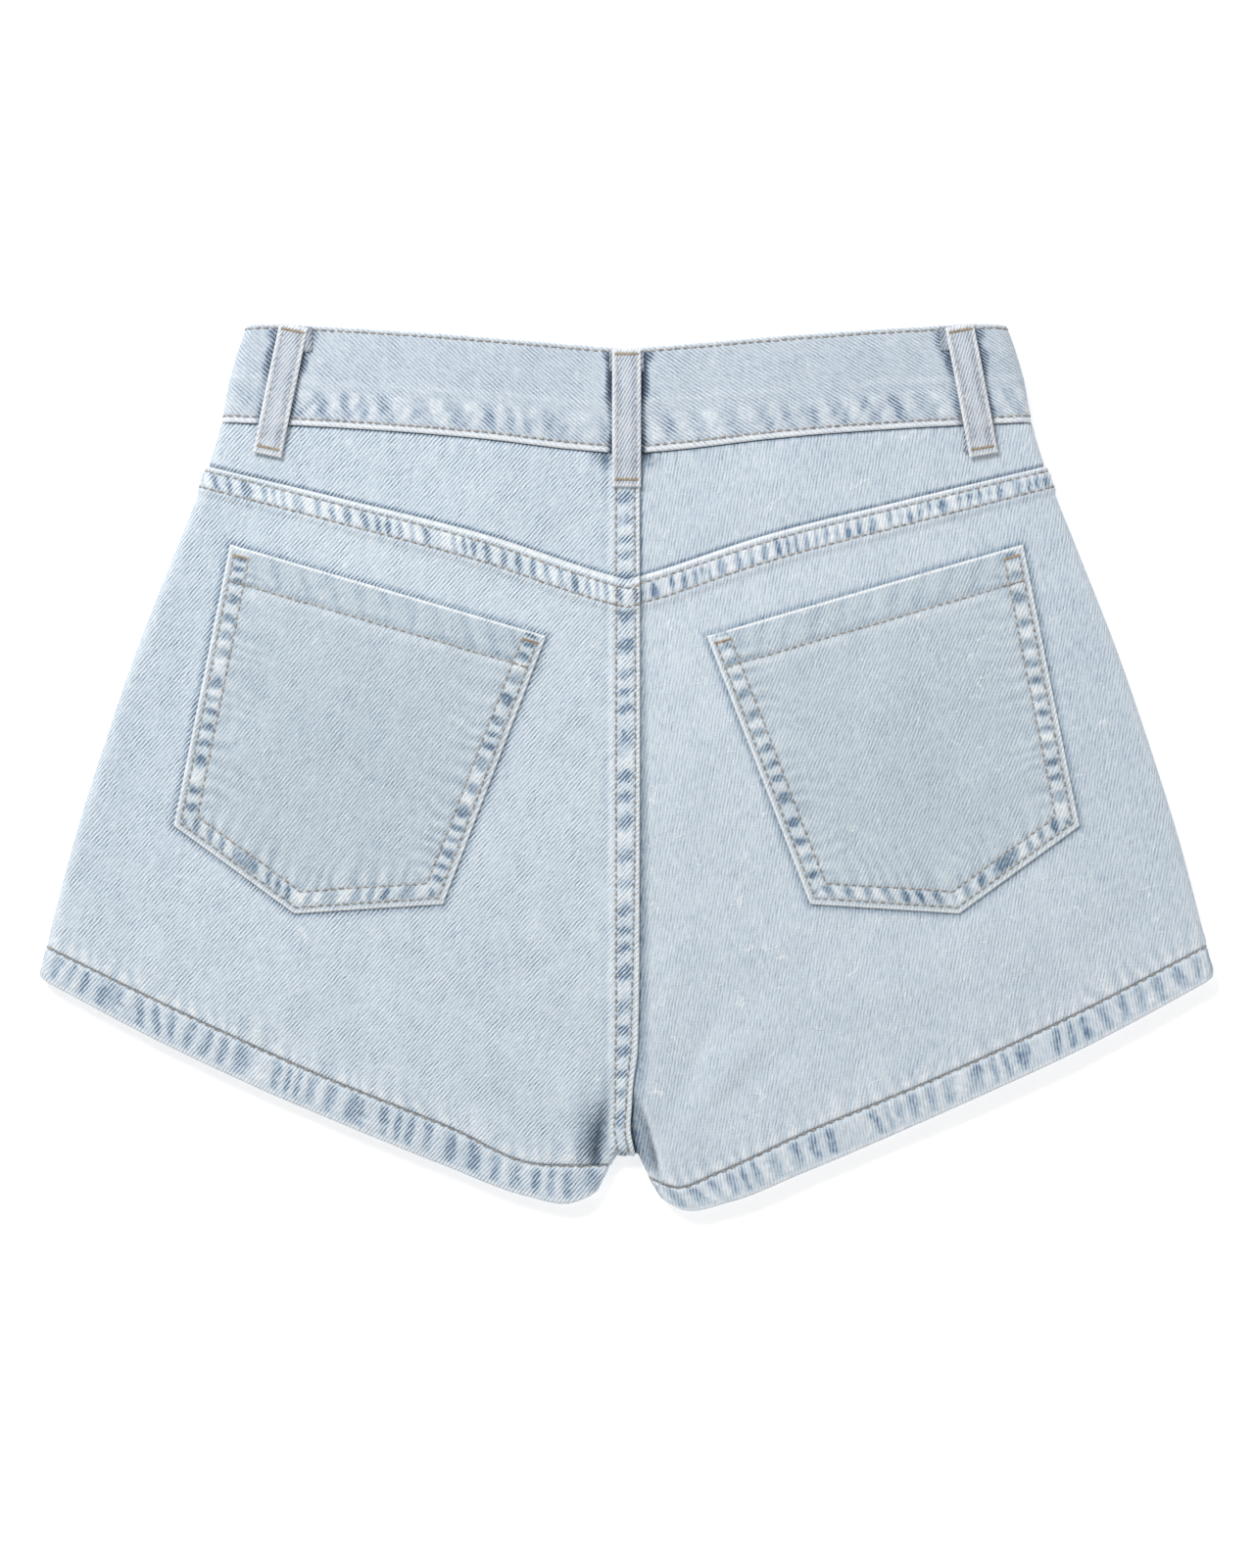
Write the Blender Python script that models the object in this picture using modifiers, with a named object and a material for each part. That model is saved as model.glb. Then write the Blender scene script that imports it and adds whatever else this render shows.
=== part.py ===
"""Denim shorts, laid flat with the back upwards.

The waist points along +Y, the wearer's right side along +X, and the front rests on z = 0.
Lengths below are in millimetres and MM turns them into metres when a mesh is made.

A leg is worked out in its own half: `a` is the distance from the centre line (never negative),
`y` runs up to the waist, and `side` (-1 left, +1 right) puts it in place at the end. The back lies
over the front, both meet round the side fold, and the walls stay hollow from the waist to the hems.
"""

import math

import bpy
import numpy as np

MM = 0.001

# ---------------------------------------------------------------- driving dimensions (mm)
PANEL_WALL = 1.2        # one layer of denim
BAND_WALL = 2.4         # waistband, doubled
HEM_WALL = 2.4          # hem, turned twice
POCKET_WALL = 1.2
LOOP_WALL = 1.4
FACING_WALL = 1.0
ZIP_WALL = 0.8
SEAM_GAP = 0.3          # between pieces that are sewn together
FOLD_RADIUS = 4.5       # outer radius of the side fold, half the height of the laid-down leg
UNDERLAP = 7.0          # how far the back wraps under before the side seam
HEM_PROUD = 0.5         # the thick hem stands this much above its panel
HEM_RADIUS = FOLD_RADIUS + HEM_PROUD / 2
HEM_END_ROOM = 0.75     # more room for the thick hem where it turns round the inner leg
SIDE_ROOM = 0.25        # more room at the band's and the hem's seams where they wrap the side
CLOSING_LIFT = 0.65     # each edge of the inseam stops this far from the middle of the fold

# Half width of the garment at heights down its side.
SIDE = (
    # y, half width
    (199.0, 171.0),
    (186.0, 175.5),
    (175.0, 178.6),
    (155.0, 182.4),
    (142.0, 186.1),
    (131.0, 189.9),
    (98.0, 202.9),
    (54.0, 220.2),
    (10.0, 235.4),
    (-34.0, 249.1),
    (-66.0, 257.6),
    (-91.0, 264.2),
)

# Seam lines across the back and the front, from the centre out.
# a, y
BACK_TOP = ((0, 188.0), (26, 190.1), (79, 194.5), (132, 198.0), (160, 199.3), (172, 198.9))
BACK_BAND_SEAM = ((0, 140.4), (30, 143.2), (61, 147.0), (122, 152.0), (184, 155.2))
YOKE_SEAM = ((0, 84.4), (6, 86.0), (61, 103.8), (125, 120.0), (190, 135.6))
FRONT_TOP = ((0, 174.0), (60, 179.5), (120, 191.0), (160, 198.4), (172, 198.9))
FRONT_BAND_SEAM = ((0, 129.5), (60, 135.5), (120, 147.5), (165, 154.0), (184, 155.2))

# The crotch is a short level fold between the legs.
CROTCH_Y = -173.8
CROTCH_HALF_WIDTH = 5.2

# Each hem from the inner leg out to the side fold: its stitched top line and its bottom edge.
# stitch a, stitch y, edge a, edge y
HEM = {
    "left": (
        (7.1, -178.6, 13.5, -191.5),
        (25.0, -178.6, 26.0, -195.8),
        (42.5, -177.7, 45.5, -192.3),
        (77.7, -162.3, 84.0, -177.9),
        (140.6, -136.8, 147.3, -152.0),
        (202.6, -108.6, 210.0, -123.1),
        (260.4, -80.6, 264.3, -94.5),
    ),
    "right": (
        (9.6, -184.4, 15.8, -194.4),
        (22.5, -188.6, 26.5, -199.0),
        (40.7, -182.1, 45.5, -195.4),
        (74.0, -166.8, 80.8, -181.6),
        (141.0, -138.6, 147.8, -152.6),
        (203.0, -110.0, 209.8, -123.8),
        (260.4, -80.2, 264.3, -94.5),
    ),
}

# Broad rises of the laid-down back above its level part.
RISES = (
    # a, y, reach across, reach along, height
    (0, 168, 120, 55, 2.8),
    (88, 25, 80, 95, 2.2),
    (150, -90, 70, 60, 1.4),
)
SIDE_FADE = 34.0        # the rises die out this near the side fold

# The deep tuck beside the seat seam at the crotch.
TUCK = (
    # y, centre a, half width, depth
    (-134, 7.0, 2.5, 0.0),
    (-148, 8.6, 3.0, 1.6),
    (-160, 10.8, 3.8, 3.4),
    (-169, 12.6, 4.6, 4.4),
    (-175, 13.6, 4.6, 3.6),
    (-182, 14.4, 4.6, 2.4),
    (-191, 15.4, 4.6, 1.2),
    (-200, 15.4, 4.6, 0.6),
)

# Back pocket: five-sided, tilted with the hip.
POCKET_CENTRE = (107.0, 79.6)
POCKET_TILT = math.radians(16.2)
POCKET_TOP_WIDTH = 148.0
POCKET_BOTTOM_WIDTH = 126.0
POCKET_DEPTH = 128.5
POCKET_POINT = 22.7

# Belt loops: middle of the top end and of the bottom end.
LOOP_WIDTH = 13.0
BACK_LOOPS = {
    # name: top x, top y, bottom x, bottom y
    "belt_loop_back_centre": (0.0, 187.6, 0.0, 125.6),
    "belt_loop_back_left": (-149.3, 198.2, -161.3, 140.0),
    "belt_loop_back_right": (149.3, 198.2, 160.3, 140.0),
}
FRONT_LOOPS = {
    "belt_loop_front_left": (-92.0, 184.6, -92.0, 127.0),
    "belt_loop_front_right": (92.0, 184.6, 92.0, 127.0),
}
LOOP_ARCH = 1.2         # clear rise in the middle of a back loop

# Front closure, on the underside.
BUTTON_RADIUS = 8.5
BUTTON_HEIGHT = 3.6
BUTTON_LIFT = 2.2       # the band rises this much more over the button than over the loops
OVER_END = 14.0         # the outer band end passes the centre by this much
UNDER_END = 16.0        # and the inner end by this much
FRONT_LIFTS = (
    # height, a where it ends, a where it is full, then the same below the band
    (LOOP_WALL + SEAM_GAP, 152, 122, 62, 18),
    (BUTTON_LIFT, 52, 20, 26, 2),
)
FACING_WIDTH = 36.0
FACING_LENGTH = 150.0
ZIP_WIDTH = 24.0
ZIP_LENGTH = 138.0
ZIP_CHAIN_WIDTH = 6.0
ZIP_CHAIN_HEIGHT = 0.8
SLIDER_SIZE = (9.0, 12.0, 1.4)
SLIDER_ROOM = 0.75      # over the sloping chain, which leaves 0.3 at the slider's nearer end

# ---------------------------------------------------------------- grid stations
# Shares of the way from the inner leg to the side, closer together at the tuck and where the hem bends.
ACROSS = (0, .002, .007, .017, .032, .05, .08, .115, .155, .2, .25, .31, .4, .52, .64, .76, .88, 1)
SIDE_ANGLES = np.radians((30, 60, 90, 120, 150, 180))
# Heights of the rows at the centre line, closer together at the tuck and at the crotch.
ROWS_BACK = (84.4, 60, 30, -5, -40, -80, -115, -136, -148, -157, -164.8, -169.3, -172.5, -173.8)
ROWS_FRONT = (129.5, 118, 106, 94, 82, 70, 0, -80, -140, -164.8, -169.3, -172.5, -173.8)

CLOTH = (0.62, 0.70, 0.78, 1)
CLOTH_SHADE = (0.56, 0.64, 0.73, 1)
BRASS = (0.55, 0.42, 0.24, 1)


# ---------------------------------------------------------------- curves
def smooth(x, xs, ys):
    """Cubic interpolation of ys at x, with each slope taken from the neighbouring points."""
    xs = np.asarray(xs, float)
    ys = np.asarray(ys, float)
    x = np.asarray(x, float)
    slopes = np.gradient(ys, xs, axis=0)
    i = np.clip(np.searchsorted(xs, x) - 1, 0, len(xs) - 2)
    step = xs[i + 1] - xs[i]
    t = np.clip((x - xs[i]) / step, 0, 1)
    if ys.ndim == 2:
        step = step[..., None]
        t = t[..., None]
    start = (2 * t**3 - 3 * t**2 + 1) * ys[i] + (t**3 - 2 * t**2 + t) * step * slopes[i]
    finish = (3 * t**2 - 2 * t**3) * ys[i + 1] + (t**3 - t**2) * step * slopes[i + 1]
    return start + finish


def along(points, fractions):
    """Points at fractions of the length of a smooth curve through `points`."""
    points = np.asarray(points, float)
    chords = np.linalg.norm(np.diff(points, axis=0), axis=1)
    length = np.concatenate([[0], np.cumsum(chords)])
    return smooth(np.asarray(fractions) * length[-1], length, points)


def ease(x, low, high):
    """0 at low, 1 at high, with a smooth rise between; low may be above high."""
    t = np.clip((np.asarray(x, float) - low) / (high - low), 0, 1)
    return t * t * (3 - 2 * t)


def half_width(y):
    rows = np.array(SIDE[::-1])
    return smooth(np.clip(y, rows[0, 0], rows[-1, 0]), rows[:, 0], rows[:, 1])


def seam_y(table, a):
    rows = np.array(table, float)
    return smooth(a, rows[:, 0], rows[:, 1])


def seam_points(table, fractions, inset, start=0.0):
    """A seam line as (a, y) points, from `start` out to `inset` inside the side fold."""
    reach = 180.0
    for _ in range(6):
        reach = half_width(seam_y(table, reach)) - inset
    a = start + np.asarray(fractions) * (reach - start)
    return np.stack([a, seam_y(table, a)], axis=-1)


def hem_points(leg, line):
    """The hem's stitched line (line 0) or its bottom edge (line 1), out to where the side fold starts."""
    points = np.array(HEM[leg])[:, 2 * line:2 * line + 2]
    steps = np.linspace(0.8, 1, 201)
    trial = along(points, steps)
    beyond = trial[:, 0] - (half_width(trial[:, 1]) - HEM_RADIUS)
    return along(points, np.asarray(ACROSS) * np.interp(0, beyond, steps))


def cut_short(line, inset):
    """The line, with its last point drawn back to `inset` inside the side fold."""
    steps = np.linspace(0, 1, 101)[:, None]
    trial = line[-2] * (1 - steps) + line[-1] * steps
    beyond = trial[:, 0] - (half_width(trial[:, 1]) - inset)
    line[-1] = [np.interp(0, beyond, trial[:, k]) for k in (0, 1)]
    return line


# ---------------------------------------------------------------- heights
def inner_distance(leg, a, y):
    """Distance to the fold that closes the leg inside: the crotch, then the inner leg."""
    stitch_a, stitch_y, edge_a, edge_y = HEM[leg][0]
    corner = (CROTCH_HALF_WIDTH, CROTCH_Y - 0.2)
    line = np.array([(-1, CROTCH_Y), corner, (stitch_a, stitch_y), (edge_a, edge_y)])
    nearest = np.full(np.shape(a), np.inf)
    for start, end in zip(line[:-1], line[1:]):
        span = end - start
        t = ((a - start[0]) * span[0] + (y - start[1]) * span[1]) / (span @ span)
        t = np.clip(t, 0, 1)
        gap = np.hypot(a - start[0] - t * span[0], y - start[1] - t * span[1])
        nearest = np.minimum(nearest, gap)
    return nearest


def rounding(leg, a, y):
    """0 on the inner fold and 1 from one fold radius away, along a quarter circle."""
    away = 1 - np.minimum(inner_distance(leg, a, y) / FOLD_RADIUS, 1)
    return np.sqrt(1 - away**2)


def back_height(leg, a, y):
    """Outer height of a single-layer back panel."""
    rise = np.zeros(np.shape(a))
    for centre_a, centre_y, reach_a, reach_y, height in RISES:
        rise += height * np.exp(-((a - centre_a) / reach_a)**2 - ((y - centre_y) / reach_y)**2)
    rise *= 1 - np.exp(-((half_width(y) - FOLD_RADIUS - a) / SIDE_FADE)**2)
    rows = np.array(TUCK[::-1])
    centre, width, depth = (np.interp(y, rows[:, 0], rows[:, k]) for k in (1, 2, 3))
    tuck = depth * np.exp(-((a - centre) / width)**2)
    return FOLD_RADIUS * (1 + rounding(leg, a, y)) + (rise - tuck) * rounding(leg, a, y)


def front_lift(a, below_band=0.0):
    """How far the front is held up by the loops and the button under its waist."""
    total = 0
    for height, a_none, a_full, below_none, below_full in FRONT_LIFTS:
        total = total + height * ease(a, a_none, a_full) * ease(below_band, below_none, below_full)
    return total


def front_height(leg, a, y):
    """Outer height of the front, which faces the floor."""
    lift = front_lift(a, seam_y(FRONT_BAND_SEAM, a) - y)
    return FOLD_RADIUS * (1 - rounding(leg, a, y)) + lift


# ---------------------------------------------------------------- grids
def patch(top, bottom, inner, outer, fractions_across, fractions_down):
    """Points of a sheet stretched evenly between its four edges (a Coons patch)."""
    u = np.asarray(fractions_across)[None, :, None]
    v = np.asarray(fractions_down)[:, None, None]
    ruled = (1 - v) * top[None] + v * bottom[None] + (1 - u) * inner[:, None] + u * outer[:, None]
    corners = ((1 - u) * (1 - v) * top[0] + u * (1 - v) * top[-1]
               + (1 - u) * v * bottom[0] + u * v * bottom[-1])
    return ruled - corners


def raised(plan, heights):
    return np.concatenate([plan, heights[..., None]], axis=-1)


def round_the_side(grid, underlap):
    """Carry every row on round the side fold and `underlap` back under it."""
    end = grid[:, -1]
    slope = (end[:, 1] - grid[:, -2, 1]) / (end[:, 0] - grid[:, -2, 0])
    radius = end[:, 2] / 2
    reaches = [(radius * math.sin(angle), radius * (1 + math.cos(angle))) for angle in SIDE_ANGLES]
    if underlap:
        reaches += [(-step * underlap + 0 * radius, 0 * radius) for step in (0.5, 1.0)]
    wrapped = []
    for reach, z in reaches:
        a = end[:, 0] + reach
        for _ in range(4):
            y = end[:, 1] + slope * (a - end[:, 0])
            a = half_width(y) - radius + reach
        wrapped.append(np.stack([a, y, z], axis=-1))
    return np.concatenate([grid, np.stack(wrapped, axis=1)], axis=1)


def panel_plan(leg, seam, rows, inset):
    """Plan of a front or back panel between its top seam, the hem line, the centre and the side.

    Its first columns run down to the level fold of the crotch and the rest down to the hem line.
    """
    centre = SEAM_GAP / 2
    crotch_a = (centre, CROTCH_HALF_WIDTH / 2, CROTCH_HALF_WIDTH)
    hem = cut_short(hem_points(leg, 0), inset)
    hem[:, 1] += SEAM_GAP / 2
    bottom = np.concatenate([[(a, CROTCH_Y) for a in crotch_a], hem])
    top = seam_points(seam, ACROSS, inset, start=hem[0, 0])
    top = np.concatenate([[(a, seam_y(seam, a)) for a in crotch_a], top])
    top[:, 1] -= SEAM_GAP / 2
    chords = np.abs(np.diff(bottom[:, 0]))
    share_across = np.concatenate([[0], np.cumsum(chords)]) / chords.sum()
    inner = np.array([(centre, y) for y in rows])
    inner[0] = top[0]
    share_down = (inner[0, 1] - inner[:, 1]) / (inner[0, 1] - CROTCH_Y)
    outer_y = top[-1, 1] + share_down * (bottom[-1, 1] - top[-1, 1])
    outer = np.stack([half_width(outer_y) - inset, outer_y], axis=-1)
    outer[0] = top[-1]
    outer[-1] = bottom[-1]
    return patch(top, bottom, inner, outer, share_across, share_down)


def back_panel_grid(leg):
    plan = panel_plan(leg, YOKE_SEAM, ROWS_BACK, FOLD_RADIUS)
    heights = back_height(leg, plan[..., 0], plan[..., 1])
    heights = np.maximum(heights, FOLD_RADIUS + CLOSING_LIFT)
    heights[:, -1] = 2 * FOLD_RADIUS
    return round_the_side(raised(plan, heights), UNDERLAP)


def front_panel_grid(leg):
    inset = FOLD_RADIUS + UNDERLAP + SEAM_GAP
    plan = panel_plan(leg, FRONT_BAND_SEAM, ROWS_FRONT, inset)
    heights = front_height(leg, plan[..., 0], plan[..., 1])
    return raised(plan, np.minimum(heights, FOLD_RADIUS - CLOSING_LIFT))


def yoke_grid(leg):
    top = seam_points(BACK_BAND_SEAM, ACROSS, FOLD_RADIUS)
    bottom = seam_points(YOKE_SEAM, ACROSS, FOLD_RADIUS)
    top[:, 1] -= SEAM_GAP / 2
    bottom[:, 1] += SEAM_GAP / 2
    top[0, 0] = SEAM_GAP / 2
    bottom[0, 0] = SEAM_GAP / 2
    down = np.linspace(0, 1, 4)[:, None, None]
    plan = top * (1 - down) + bottom * down
    heights = back_height(leg, plan[..., 0], plan[..., 1])
    heights[:, -1] = 2 * FOLD_RADIUS
    return round_the_side(raised(plan, heights), UNDERLAP)


def hem_grid(leg):
    """A closed ring: over the back of the leg, round the side, and back under the front."""
    stitch = hem_points(leg, 0)
    stitch[:, 1] -= SEAM_GAP / 2 + HEM_END_ROOM * ease(ACROSS, 0.06, 0.02) + SIDE_ROOM * ease(ACROSS, 0.85, 1)
    down = np.linspace(0, 1, 3)[:, None, None]
    plan = stitch * (1 - down) + hem_points(leg, 1) * down
    a, y = plan[..., 0], plan[..., 1]
    top = back_height(leg, a, y) + HEM_PROUD * rounding(leg, a, y)
    top[:, 0] = FOLD_RADIUS
    top[:, -1] = 2 * HEM_RADIUS
    over = round_the_side(raised(plan, top), 0)
    under = raised(plan, front_height(leg, a, y))[:, -2:0:-1]
    return np.concatenate([over, under], axis=1)


def band_rows(table_top, table_seam, fractions, inset):
    top = seam_points(table_top, fractions, inset)
    seam = seam_points(table_seam, fractions, inset)
    seam[:, 1] += SEAM_GAP / 2 + SIDE_ROOM * ease(fractions, 0.85, 1)
    down = np.linspace(0, 1, 3)[:, None, None]
    return top * (1 - down) + seam * down


def waistband_grid():
    """An open ring from the outer front end, round the right side, the back and the left side."""
    extra = BAND_WALL - PANEL_WALL
    radius = FOLD_RADIUS + extra / 2
    back = band_rows(BACK_TOP, BACK_BAND_SEAM, ACROSS, radius)
    heights = back_height("left", back[..., 0], back[..., 1]) + extra
    heights[:, -1] = 2 * radius
    over = round_the_side(raised(back, heights), 0)
    front = band_rows(FRONT_TOP, FRONT_BAND_SEAM, ACROSS[5:-1][::-1], radius)
    under = raised(front, front_lift(front[..., 0]))
    half = np.concatenate([over, under], axis=1)
    right = half[:, ::-1]
    left = half[:, 1:] * (-1, 1, 1)
    ends = []
    for side, reach, lift in ((1, OVER_END, 0), (-1, UNDER_END, BAND_WALL + SEAM_GAP)):
        a = np.array((0, reach / 2, reach))
        down = np.linspace(0, 1, 3)[:, None]
        top_y = seam_y(FRONT_TOP, a)
        y = top_y + down * (seam_y(FRONT_BAND_SEAM, a) + SEAM_GAP / 2 - top_y)
        height = np.full(y.shape, front_lift(0) + lift)
        ends.append(np.stack([-side * a + 0 * y, y, height], axis=-1))
    lifted = (BAND_WALL + SEAM_GAP) * ease(-left[..., 0], 46, 17)
    on_front = np.zeros(left.shape[1], bool)
    on_front[-under.shape[1]:] = True
    left[..., 2] += lifted * on_front
    return np.concatenate([ends[0][:, ::-1], right, left, ends[1]], axis=1)


def pocket_grid(leg):
    p = np.linspace(-1, 1, 9)[None, :]
    q = np.linspace(0, 1, 7)[:, None]
    width = POCKET_TOP_WIDTH * (1 - q) + POCKET_BOTTOM_WIDTH * q
    across = p * width / 2
    down = q * (POCKET_DEPTH + POCKET_POINT * (1 - np.abs(p)))
    a = POCKET_CENTRE[0] + across * math.cos(POCKET_TILT) + down * math.sin(POCKET_TILT)
    y = POCKET_CENTRE[1] + across * math.sin(POCKET_TILT) - down * math.cos(POCKET_TILT)
    height = back_height(leg, a, y) + SEAM_GAP + POCKET_WALL
    return np.stack([a, y, height], axis=-1)


# ---------------------------------------------------------------- belt loops
def strip_plan(ends, fractions, width, columns):
    """Plan of a straight strip between two end points, as rows across it."""
    start = np.array(ends[:2])
    span = np.array(ends[2:]) - start
    across = np.array((-span[1], span[0])) / np.hypot(*span)
    rows = start + np.asarray(fractions)[:, None, None] * span
    return rows + np.linspace(0.5, -0.5, columns)[None, :, None] * width * across


def back_loop_grid(ends):
    """A strip that is sewn down at both ends and arches over the band and its lower seam."""
    fractions = np.array((0, .08, .22, .4, .58, .72, .79, .88, 1))
    arch = np.array((0, 0, .8, 1, 1, .9, .8, .1, 0)) * LOOP_ARCH
    on_band = fractions < .8
    plan = strip_plan(ends, fractions, LOOP_WIDTH, 3)
    ground = back_height("left", np.abs(plan[..., 0]), plan[..., 1])
    ground += (BAND_WALL - PANEL_WALL) * on_band[:, None]
    return raised(plan, ground + arch[:, None] + SEAM_GAP + LOOP_WALL)


def front_loop_grid(ends):
    plan = strip_plan(ends, (0, 1), LOOP_WIDTH, 2)
    return raised(plan, np.zeros(plan.shape[:2]))


# ---------------------------------------------------------------- front closure
def facing_grid():
    """The J-shaped fly facing, inside the right front."""
    q = np.array((0, .08, .16, .24, .32, .4, .6, .78, .88, .95, 1))[:, None]
    p = np.linspace(0, 1, 5)[None, :]
    tail = np.clip((q - .78) / .22, 0, 1)
    width = FACING_WIDTH * np.sqrt(1 - 0.96 * tail**2)
    a = SEAM_GAP / 2 + p * width
    y = FRONT_BAND_SEAM[0][1] - SEAM_GAP - q * FACING_LENGTH + 0 * p
    height = front_height("right", a, y) + PANEL_WALL + SEAM_GAP + FACING_WALL
    return np.stack([a, y, height], axis=-1)


def zip_grid():
    """Zip tape with its raised chain, over the facing."""
    q = np.linspace(0, 1, 12)[:, None]
    edge = ZIP_WIDTH / 2
    chain = ZIP_CHAIN_WIDTH / 2
    x = np.array((-edge, -chain - 0.6, -chain, chain, chain + 0.6, edge))[None, :] + 0 * q
    y = FRONT_BAND_SEAM[0][1] - 3 - q * ZIP_LENGTH + 0 * x
    on_chain = np.array((0, 0, 1, 1, 0, 0)) * ZIP_CHAIN_HEIGHT
    ground = front_height("right", np.abs(x), y) + PANEL_WALL + SEAM_GAP + FACING_WALL
    return np.stack([x, y, ground + SEAM_GAP + ZIP_WALL + on_chain], axis=-1)


# ---------------------------------------------------------------- objects
def material(name, colour, roughness=0.9, metallic=0.0):
    made = bpy.data.materials.new(name)
    made.use_nodes = True
    shader = made.node_tree.nodes["Principled BSDF"]
    shader.inputs["Base Color"].default_value = colour
    shader.inputs["Roughness"].default_value = roughness
    shader.inputs["Metallic"].default_value = metallic
    return made


def cloth(name, grid, wall, facing_up=True, ring=False, colour=CLOTH):
    """A sheet through the grid's points, on its outer face, thickened inwards by Solidify."""
    rows, columns = grid.shape[:2]
    number = np.arange(rows * columns).reshape(rows, columns)
    if ring:
        number = np.concatenate([number, number[:, :1]], axis=1)
    quads = np.stack([number[:-1, :-1], number[1:, :-1], number[1:, 1:], number[:-1, 1:]], axis=-1)
    quads = quads.reshape(-1, 4)
    points = grid.reshape(-1, 3)
    if facing_up:
        quads = quads if outward_up(points, quads) else quads[:, ::-1]
    else:
        quads = quads[:, ::-1] if outward_up(points, quads) else quads
    mesh = bpy.data.meshes.new(name)
    mesh.from_pydata((points * MM).tolist(), [], quads.tolist())
    mesh.shade_smooth()
    made = bpy.data.objects.new(name, mesh)
    parts.objects.link(made)
    made.data.materials.append(material(name, colour))
    solid = made.modifiers.new("wall", "SOLIDIFY")
    solid.thickness = wall * MM
    solid.offset = -1
    return made


def outward_up(points, quads):
    """Whether the first faces, which lie on the upper side, are wound to face up."""
    first = points[quads[:3]]
    cross = np.cross(first[:, 1] - first[:, 0], first[:, 2] - first[:, 1])
    return cross[:, 2].sum() > 0


def make_button():
    """A turned shank button, its face on the floor and its neck up to the waistband."""
    r, h = BUTTON_RADIUS, BUTTON_HEIGHT
    profile = ((0, h), (3.2, h), (3.2, h - 0.9), (r - 1.8, h - 1.0), (r - 0.3, h - 1.5),
               (r, h - 2.3), (r - 0.4, 0.5), (r - 1.4, 0), (0, 0))
    mesh = bpy.data.meshes.new("button")
    edges = [(i, i + 1) for i in range(len(profile) - 1)]
    mesh.from_pydata([(x * MM, 0, z * MM) for x, z in profile], edges, [])
    made = bpy.data.objects.new("button", mesh)
    parts.objects.link(made)
    made.location = (0, (FRONT_TOP[0][1] + FRONT_BAND_SEAM[0][1]) / 2 * MM, 0)
    turn = made.modifiers.new("turn", "SCREW")
    turn.steps = 28
    turn.render_steps = 28
    turn.use_merge_vertices = True
    turn.merge_threshold = 0.00005
    made.data.materials.append(material("button", BRASS, 0.35, 1.0))
    return made


def make_slider():
    """The zip's slider, closed under the waistband."""
    grid = zip_grid()
    ground, y = grid[2, 2, 2], grid[2, 2, 1]
    width, length, height = SLIDER_SIZE
    bpy.ops.mesh.primitive_cube_add(size=1)
    made = bpy.context.object
    made.name = "zip_slider"
    made.data.name = "zip_slider"
    for owner in list(made.users_collection):
        owner.objects.unlink(made)
    parts.objects.link(made)
    made.scale = (width * MM, length * MM, height * MM)
    made.location = (0, y * MM, (ground + SLIDER_ROOM + height / 2) * MM)
    bpy.ops.object.transform_apply(location=False, rotation=False, scale=True)
    rounded = made.modifiers.new("edges", "BEVEL")
    rounded.width = 0.5 * MM
    rounded.segments = 2
    made.data.materials.append(material("zip_slider", BRASS, 0.35, 1.0))
    return made


# ---------------------------------------------------------------- build
for leftover in list(bpy.data.objects):
    bpy.data.objects.remove(leftover, do_unlink=True)

parts = bpy.data.collections.new("denim_shorts")
bpy.context.scene.collection.children.link(parts)

for leg, side in (("left", -1), ("right", 1)):
    place = (side, 1, 1)
    cloth(f"back_panel_{leg}", back_panel_grid(leg) * place, PANEL_WALL)
    cloth(f"back_yoke_{leg}", yoke_grid(leg) * place, PANEL_WALL)
    cloth(f"back_pocket_{leg}", pocket_grid(leg) * place, POCKET_WALL, colour=CLOTH_SHADE)
    cloth(f"front_panel_{leg}", front_panel_grid(leg) * place, PANEL_WALL, facing_up=False)
    cloth(f"leg_hem_{leg}", hem_grid(leg) * place, HEM_WALL, ring=True)

cloth("waistband", waistband_grid(), BAND_WALL, facing_up=False)

for name, ends in BACK_LOOPS.items():
    cloth(name, back_loop_grid(ends), LOOP_WALL, colour=CLOTH_SHADE)
for name, ends in FRONT_LOOPS.items():
    cloth(name, front_loop_grid(ends), LOOP_WALL, facing_up=False, colour=CLOTH_SHADE)

cloth("fly_facing", facing_grid(), FACING_WALL)
cloth("zip_tape", zip_grid(), ZIP_WALL, colour=CLOTH_SHADE)
make_slider()
make_button()
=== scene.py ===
# %% [markdown]
# # Denim shorts, laid flat
#
# Pale bleached shorts lying on their front, seen from above. Every piece of cloth is a thin sheet
# worked out with numpy on the form of its CAD solid, then given a wall. Lengths are in millimetres
# and MM turns them into metres when a mesh is made.

# %% Load the frame
import math

import bpy
import numpy as np
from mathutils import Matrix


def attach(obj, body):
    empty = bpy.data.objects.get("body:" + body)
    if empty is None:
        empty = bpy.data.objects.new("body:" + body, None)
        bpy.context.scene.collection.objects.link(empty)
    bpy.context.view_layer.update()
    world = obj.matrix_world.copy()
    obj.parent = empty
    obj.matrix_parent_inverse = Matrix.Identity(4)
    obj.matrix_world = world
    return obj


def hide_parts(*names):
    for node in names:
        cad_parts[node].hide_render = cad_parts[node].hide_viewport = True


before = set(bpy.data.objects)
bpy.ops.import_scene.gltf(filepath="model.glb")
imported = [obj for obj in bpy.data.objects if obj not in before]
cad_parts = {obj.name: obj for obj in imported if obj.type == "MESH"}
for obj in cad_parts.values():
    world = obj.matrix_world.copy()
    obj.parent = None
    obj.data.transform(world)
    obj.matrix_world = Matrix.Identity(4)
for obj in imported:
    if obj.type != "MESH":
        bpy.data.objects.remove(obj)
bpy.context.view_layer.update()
MM = 0.001
print(len(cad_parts), "nodes in the frame")

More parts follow.
